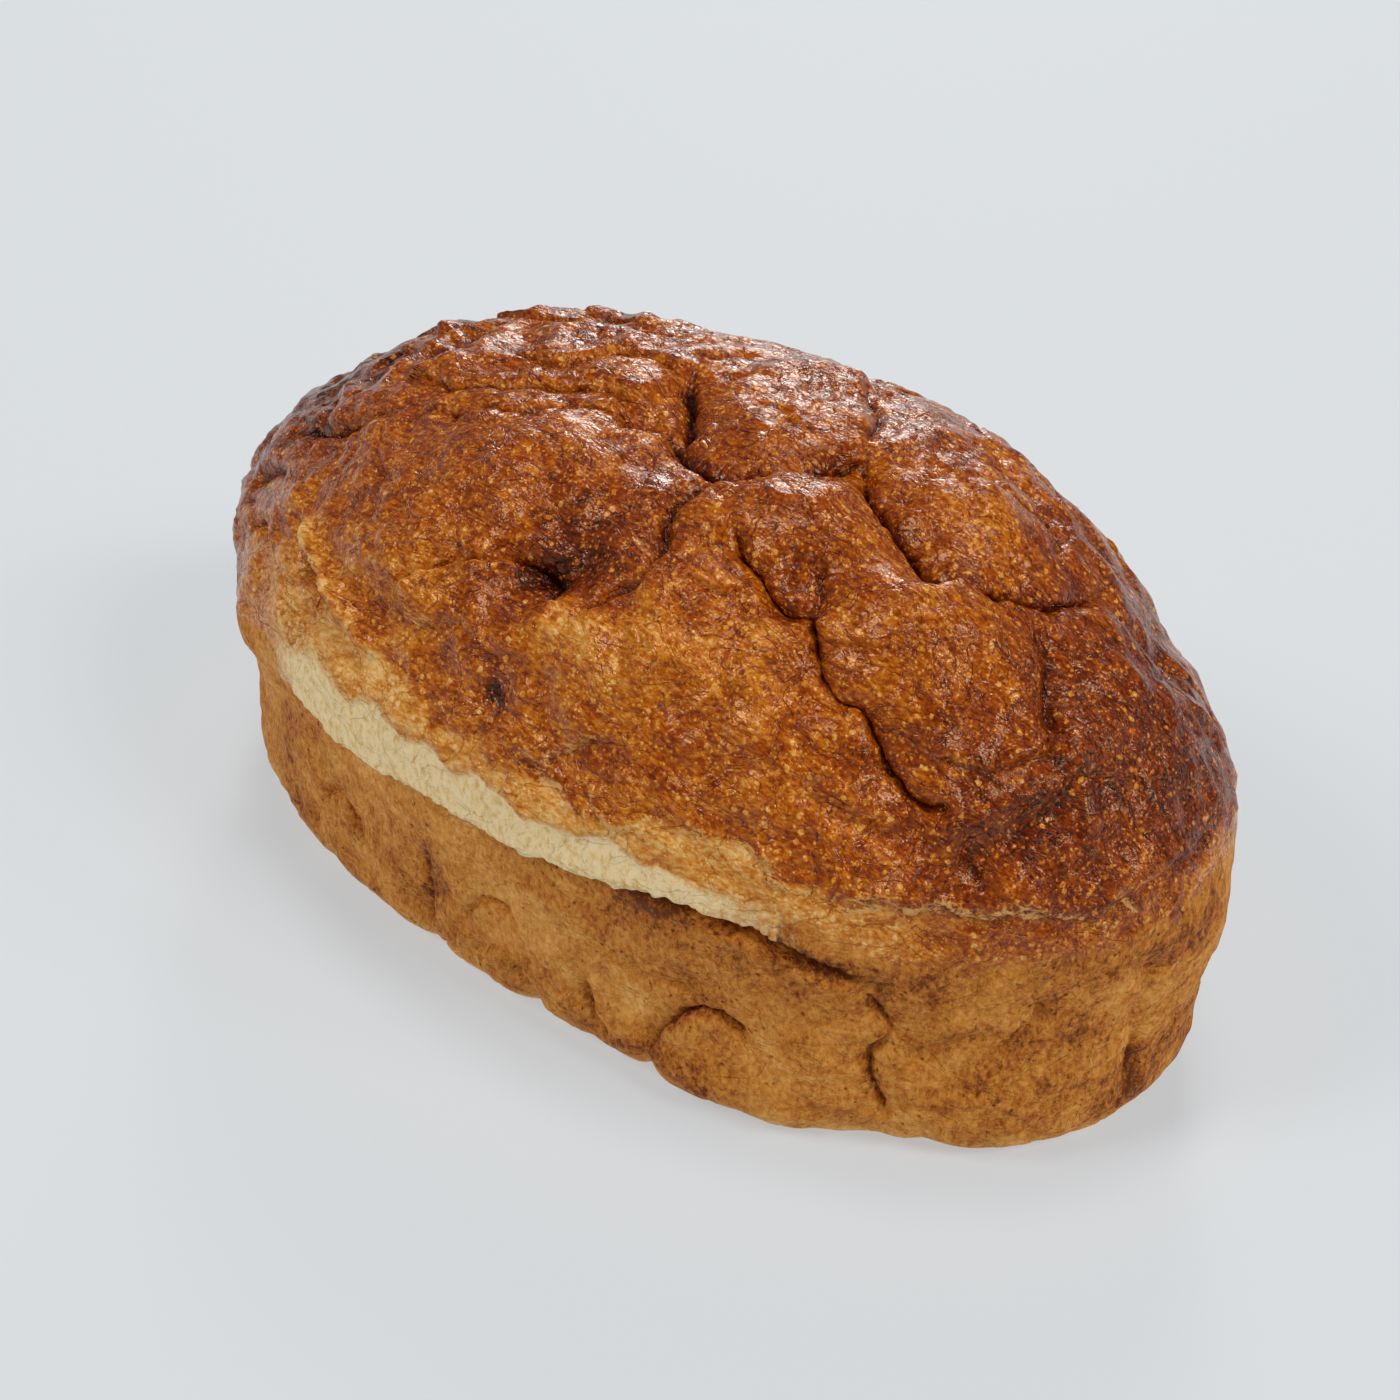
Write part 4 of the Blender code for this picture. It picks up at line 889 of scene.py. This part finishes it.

# How dark the tan of the tin side is: 0 is pale, 1 is dark. It is pale at the foot and darker to
# the right, with painted shade at the rim and in the slot and a painted shadow under the crumb
PLAIN_TAN = 0.5
TAN_WAVES = (0.30, 20, 22)
TAN_WAVES_FINE = (0.22, 7, 23)
PALE_FOOT = 0.34
SHADE_AT_RIM = 0.14
DARK_MIDDLE = 0.14
DARK_RIGHT = 0.12
SHADE_IN_SLOT = 0.7
SHADOW_UNDER_CRUMB = 0.5
tan = PLAIN_TAN + waves(form, TAN_WAVES) + waves(bent(form), TAN_WAVES_FINE)
tan -= PALE_FOOT * (1 - ramp(z_mm, 0, 9))
# Painted shade in a band at the rim, under the tear
tan += SHADE_AT_RIM * ramp(side_x, 10, 40) * bell(z_mm, 47, 4)
tan += DARK_MIDDLE * bell(side_x, 62, 34) + DARK_RIGHT * ramp(side_x, 84, 20)
# Painted shade in the slot, then a painted shadow under the crumb's lower edge
tan += SHADE_IN_SLOT * np.clip(slot / 3, 0, 1) * bell(z_mm - edge, -0.6, 1.0)
tan += SHADOW_UNDER_CRUMB * ramp(side_x, -15, 25) * opened * bell(z_mm - edge, -1.2, 0.9)

# Along its lower edge at the front, the skin has peeled here and there
PEELED_WAVES = (3, 6, 53)
peeled = bell(over_skin, 0.1, 0.45) * ramp(side_x, 8, 14) * (form[:, 1] < 0)
peeled *= smooth(waves(form, PEELED_WAVES) + 0.75)

# What the material reads at each point. The fold mask is painted shade in the grooves and the edge
# mask a painted highlight on their lips
SEAM_SHADE = 0.8
LIP_HIGHLIGHT = 0.6
SEAM_LIP_HIGHLIGHT = 0.5
masks = {"brown": brown, "tan": tan, "crumb": crumb, "tin_side": tin,
         "fold": np.maximum(deep_top * above, SEAM_SHADE * deep_side),
         "edge": np.maximum(LIP_HIGHLIGHT * lip_top * above, SEAM_LIP_HIGHLIGHT * lip_side),
         "torn": np.maximum(lip_torn, peeled)}
for name, values in masks.items():
    layer = loaf_mesh.attributes.new(name, "FLOAT", "POINT")
    layer.data.foreach_set("value", np.clip(values, -1, 2).astype(np.float32))
loaf_mesh.polygons.foreach_set("use_smooth", np.ones(len(loaf_mesh.polygons), bool))
loaf_piece = bpy.data.objects.new("loaf_baked", loaf_mesh)
bpy.context.scene.collection.objects.link(loaf_piece)


def linear(red, green, blue):
    return tuple(((c / 255 + 0.055) / 1.055) ** 2.4 for c in (red, green, blue)) + (1.0,)


class Finish:
    """One material's nodes, joined as they are made."""

    def __init__(self, name):
        self.material = bpy.data.materials.new(name)
        self.material.use_nodes = True
        self.tree = self.material.node_tree
        self.shader = self.tree.nodes["Principled BSDF"]
        self.place = self.node("ShaderNodeTexCoord").outputs["Object"]

    def node(self, kind, inputs=(), **settings):
        made = self.tree.nodes.new(kind)
        for key, value in settings.items():
            setattr(made, key, value)
        for key, value in dict(inputs).items():
            if isinstance(value, bpy.types.NodeSocket):
                self.tree.links.new(value, made.inputs[key])
            else:
                made.inputs[key].default_value = value
        return made

    def mask(self, name):
        return self.node("ShaderNodeAttribute", attribute_name=name).outputs["Fac"]

    def grain(self, size_mm, detail=2.0, rough=0.6, stretch=(1, 1, 1), bend=0.0):
        place = self.node("ShaderNodeMapping", {"Vector": self.place, "Scale": stretch})
        made = self.node("ShaderNodeTexNoise", {"Vector": place.outputs["Vector"],
                         "Scale": 1 / (size_mm * MM), "Detail": detail, "Roughness": rough,
                         "Distortion": bend})
        return made.outputs["Fac"]

    def blisters(self, size_mm, edge):
        cells = self.node("ShaderNodeTexVoronoi", {"Vector": self.place, "Randomness": 1.0,
                          "Scale": 1 / (size_mm * MM)}, feature="F1")
        uneven = self.span(self.grain(0.5 * size_mm), 0.3, 0.7, -0.10, 0.10)
        return self.span(self.sum(cells.outputs["Distance"], uneven), edge, 0.0, 0.0, 1.0)

    def span(self, value, low, high, out_low=0.0, out_high=1.0):
        made = self.node("ShaderNodeMapRange", {"Value": value, "From Min": low, "From Max": high,
                         "To Min": out_low, "To Max": out_high})
        return made.outputs["Result"]

    def sum(self, first, second, operation="ADD"):
        made = self.node("ShaderNodeMath", {0: first, 1: second}, operation=operation)
        return made.outputs["Value"]

    def add(self, value, other, low, high, out_low, out_high):
        """The value with another one added, which is first brought to a range of its own."""
        return self.sum(value, self.span(other, low, high, out_low, out_high))

    def shades(self, value, stops):
        scale = self.node("ShaderNodeValToRGB", {"Fac": value})
        marks = scale.color_ramp.elements
        while len(marks) < len(stops):
            marks.new(1.0)
        for mark, (at, colour) in zip(marks, stops):
            mark.position = at
            mark.color = linear(*colour)
        return scale.outputs["Color"]

    def mix(self, share, under, over):
        """A mix of two colours, by socket number because the node repeats its names."""
        made = self.node("ShaderNodeMix", data_type="RGBA")
        for index, value in ((0, share), (6, under), (7, over)):
            if isinstance(value, bpy.types.NodeSocket):
                self.tree.links.new(value, made.inputs[index])
            else:
                made.inputs[index].default_value = value
        return made.outputs[2]


# Grain of the skin, with sizes in millimetres: threads and streaks along the loaf, patches,
# flakes, and fine wrinkles where a slow wave passes its middle
crust = Finish("baked_crust")
threads = crust.grain(0.75, 2.5, 0.65, (0.40, 1, 0.9), 0.4)
streaks = crust.grain(2.0, 3.0, 0.6, (0.3, 1.0, 0.7), 0.6)
patchy = crust.grain(5.0, 3.0)
wander = crust.sum(crust.grain(8.0, 3.0, 0.55, (0.6, 1, 1), 1.0), 0.5, "SUBTRACT")
wrinkles = crust.span(crust.sum(wander, 0.0, "ABSOLUTE"), 0.0, 0.022, 1.0, 0.0)
flakes = crust.span(crust.grain(7.0, 5.0, 0.62, (0.6, 1, 1), 1.2), 0.485, 0.515, 0.0, 1.0)

# Small pale blisters, in two sizes, and only in some places
rare = crust.span(crust.grain(4.0, 2.0), 0.44, 0.54, 0.0, 1.0)
rare_small = crust.span(crust.grain(3.1, 2.0), 0.42, 0.52, 0.0, 1.0)
large_blisters = crust.span(crust.blisters(2.4, 0.28), 0.0, 0.30, 0.0, 0.26)
small_blisters = crust.span(crust.blisters(1.1, 0.32), 0.0, 0.35, 0.0, 0.22)
spots = crust.sum(crust.sum(large_blisters, rare, "MULTIPLY"),
                  crust.sum(small_blisters, rare_small, "MULTIPLY"), "MAXIMUM")

# The brown skin: baked glossy, darker in the folds by painted shade and paler on their lips by a
# painted highlight
brown_and_shade_mask = crust.mask("brown")
fold_shade_mask = crust.mask("fold")
lip_highlight_mask = crust.mask("edge")
mottle = crust.add(crust.span(threads, 0.34, 0.66, 0.16, -0.16), patchy, 0.3, 0.7, -0.05, 0.05)
mottle = crust.add(mottle, streaks, 0.3, 0.7, 0.10, -0.10)
shown = crust.sum(spots, crust.span(brown_and_shade_mask, 0.4, 1.0, 0.9, 2.2), "MULTIPLY")
browned = crust.sum(crust.sum(brown_and_shade_mask, mottle), shown, "SUBTRACT")
browned = crust.add(browned, flakes, 0.0, 1.0, -0.03, 0.03)
# Painted shade in the fine wrinkles
browned = crust.add(browned, wrinkles, 0.0, 1.0, -0.01, 0.10)
# Painted shade in the folds, then a painted highlight on their lips
browned = crust.add(browned, fold_shade_mask, 0.2, 0.95, 0.0, 0.60)
browned = crust.add(browned, lip_highlight_mask, 0.25, 0.8, 0.0, -0.2)
skin_colour = crust.shades(browned, [
    (0.00, (236, 192, 124)), (0.15, (224, 162, 80)), (0.30, (206, 128, 36)),
    (0.45, (182, 95, 6)), (0.60, (146, 60, 1)), (0.80, (100, 30, 0)), (1.00, (46, 10, 0))])
TORN_SKIN = linear(218, 162, 92)
torn_share = crust.add(crust.mask("torn"), threads, 0.3, 0.7, -0.4, 0.4)
torn_share = crust.span(torn_share, 0.35, 0.8)
skin_colour = crust.mix(torn_share, skin_colour, TORN_SKIN)

# The tin side: a matt tan, finely speckled, with dark pores
tin_fine = crust.grain(1.2, 4.0, 0.7, (1, 1, 0.7), 0.3)
pores = crust.sum(crust.span(crust.blisters(2.2, 0.22), 0.0, 0.5, 0.0, 0.35),
                  rare_small, "MULTIPLY")
tan_value = crust.add(crust.mask("tan"), tin_fine, 0.34, 0.66, -0.25, 0.25)
tan_value = crust.sum(tan_value, pores)
tan_value = crust.add(tan_value, flakes, 0.0, 1.0, -0.06, 0.06)
# Painted shade in the seams of the tin side, then a painted highlight on their lips
tan_value = crust.add(tan_value, fold_shade_mask, 0.1, 0.8, 0.0, 0.6)
tan_value = crust.add(tan_value, lip_highlight_mask, 0.3, 1.0, 0.0, -0.15)
tin_colour = crust.shades(tan_value, [
    (0.00, (238, 184, 110)), (0.25, (222, 156, 74)), (0.50, (204, 132, 48)),
    (0.75, (176, 98, 24)), (1.00, (104, 44, 6))])

# The torn crumb: pale, with darker pits
crumb_colour = crust.shades(crust.grain(1.4, 4.0, 0.7, (1, 1, 0.6)), [
    (0.22, (204, 146, 66)), (0.38, (234, 196, 126)), (0.50, (250, 222, 168)),
    (0.80, (255, 236, 196))])

# The three meet along frayed edges. Only the brown skin is glossy
MATT = 0.78
fray = crust.span(crust.grain(1.6, 3.0), 0.3, 0.7, -0.25, 0.25)
tin_share = crust.span(crust.sum(crust.mask("tin_side"), fray), 0.3, 0.7)
crumb_share = crust.span(crust.sum(crust.mask("crumb"), fray), 0.15, 0.85)
colour = crust.mix(tin_share, skin_colour, tin_colour)
colour = crust.mix(crumb_share, colour, crumb_colour)
crust.tree.links.new(colour, crust.shader.inputs["Base Color"])
matt = crust.sum(tin_share, crumb_share, "MAXIMUM")
matt = crust.sum(matt, crust.span(brown_and_shade_mask, 0.38, 0.14, 0.0, 0.8), "MAXIMUM")
gloss = crust.span(crust.grain(3.0, 3.0), 0.3, 0.7, 0.09, 0.21)
rough = crust.node("ShaderNodeMix", {0: matt, 2: gloss, 3: MATT}, data_type="FLOAT")
crust.tree.links.new(rough.outputs[0], crust.shader.inputs["Roughness"])
crust.shader.inputs["Specular IOR Level"].default_value = 0.52
crust.shader.inputs["Specular Tint"].default_value = (1.0, 0.74, 0.48, 1.0)

# Fine bumps, as shares of their full height
BUMP_HEIGHT = 0.22 * MM
bumps = crust.add(crust.span(threads, 0.25, 0.75, 0.0, 0.24), spots, 0.0, 0.26, 0.0, 0.35)
bumps = crust.add(bumps, streaks, 0.25, 0.75, 0.0, 0.8)
bumps = crust.add(bumps, patchy, 0.25, 0.75, 0.0, 1.8)
bumps = crust.add(bumps, flakes, 0.0, 1.0, 0.0, 0.3)
bumps = crust.add(bumps, wrinkles, 0.0, 1.0, 0.8, 0.0)
bump = crust.node("ShaderNodeBump", {"Height": bumps, "Distance": BUMP_HEIGHT, "Strength": 1.0})
crust.tree.links.new(bump.outputs["Normal"], crust.shader.inputs["Normal"])
loaf_mesh.materials.append(crust.material)

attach(loaf_piece, "root")
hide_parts("loaf")

# The floor: a plain pale sheet under the loaf, which isn't part of it. It is smooth and matt, lies
# flat, and shines a little by itself, so that it stays as pale as its surroundings.
FLOOR_REACH = 4.0
corners = [(x * FLOOR_REACH, y * FLOOR_REACH, 0) for x, y in ((-1, -1), (1, -1), (1, 1), (-1, 1))]
floor_mesh = bpy.data.meshes.new("floor")
floor_mesh.from_pydata(corners, [], [(0, 1, 2, 3)])
floor_piece = bpy.data.objects.new("floor", floor_mesh)
bpy.context.scene.collection.objects.link(floor_piece)
paper = bpy.data.materials.new("pale_floor")
paper.use_nodes = True
sheet = paper.node_tree.nodes["Principled BSDF"]
sheet.inputs["Base Color"].default_value = linear(148, 151, 153)
sheet.inputs["Emission Color"].default_value = linear(168, 172, 175)
sheet.inputs["Emission Strength"].default_value = 1.0
sheet.inputs["Roughness"].default_value = 0.7
sheet.inputs["Specular IOR Level"].default_value = 0.1
floor_mesh.materials.append(paper)

# The studio light: an even, slightly warm room and six soft lights, two behind the loaf, one above
# it, two to its right and one in front. Each has its direction, strength and width in degrees.
ROOM_COLOUR = (1.0, 0.95, 0.89, 1.0)
ROOM_STRENGTH = 0.22
SOFT_LIGHTS = {
    "light_behind": ((-0.44, 0.62, 0.60), 0.42, 13),
    "light_back_low": ((-0.62, 0.72, 0.22), 0.42, 13),
    "light_top": ((-0.06, 0.08, 1.0), 0.65, 14),
    "light_right": ((0.79, 0.33, 0.52), 0.35, 12),
    "light_right_high": ((0.74, 0.04, 0.68), 1.0, 18),
    "light_front": ((-0.30, -0.66, 0.76), 0.9, 20),
}
room = bpy.data.worlds.new("studio")
room.use_nodes = True
room.node_tree.nodes["Background"].inputs["Color"].default_value = ROOM_COLOUR
room.node_tree.nodes["Background"].inputs["Strength"].default_value = ROOM_STRENGTH
bpy.context.scene.world = room
for name, (towards, strength, width) in SOFT_LIGHTS.items():
    light = bpy.data.lights.new(name, "SUN")
    light.energy = strength
    light.angle = math.radians(width)
    lamp = bpy.data.objects.new(name, light)
    bpy.context.scene.collection.objects.link(lamp)
    lamp.rotation_euler = Vector(towards).to_track_quat("Z", "Y").to_euler()

# The camera: it stands in front of the loaf's right end, about 0.7 m away, and looks down on it
# from where the photograph was taken, through a long lens and with hardly any roll.
STAND = Vector((0.35956, -0.35958, 0.36571))
AIM = Vector((-0.04632, 0.04730, 0.0))
ROLL = math.radians(0.37)
FRAME_PIXELS = 1400
FOCAL_PIXELS = 2900
SENSOR_WIDTH = 36.0
camera_data = bpy.data.cameras.new("camera")
camera_data.sensor_fit = "HORIZONTAL"
camera_data.sensor_width = SENSOR_WIDTH
camera_data.lens = FOCAL_PIXELS / FRAME_PIXELS * SENSOR_WIDTH
camera_data.clip_start = 0.01
camera = bpy.data.objects.new("camera", camera_data)
bpy.context.scene.collection.objects.link(camera)
turn = (AIM - STAND).to_track_quat("-Z", "Y").to_matrix().to_4x4()
camera.matrix_world = Matrix.Translation(STAND) @ turn @ Matrix.Rotation(ROLL, 4, "Z")
bpy.context.scene.camera = camera
bpy.context.scene.view_settings.view_transform = "Standard"
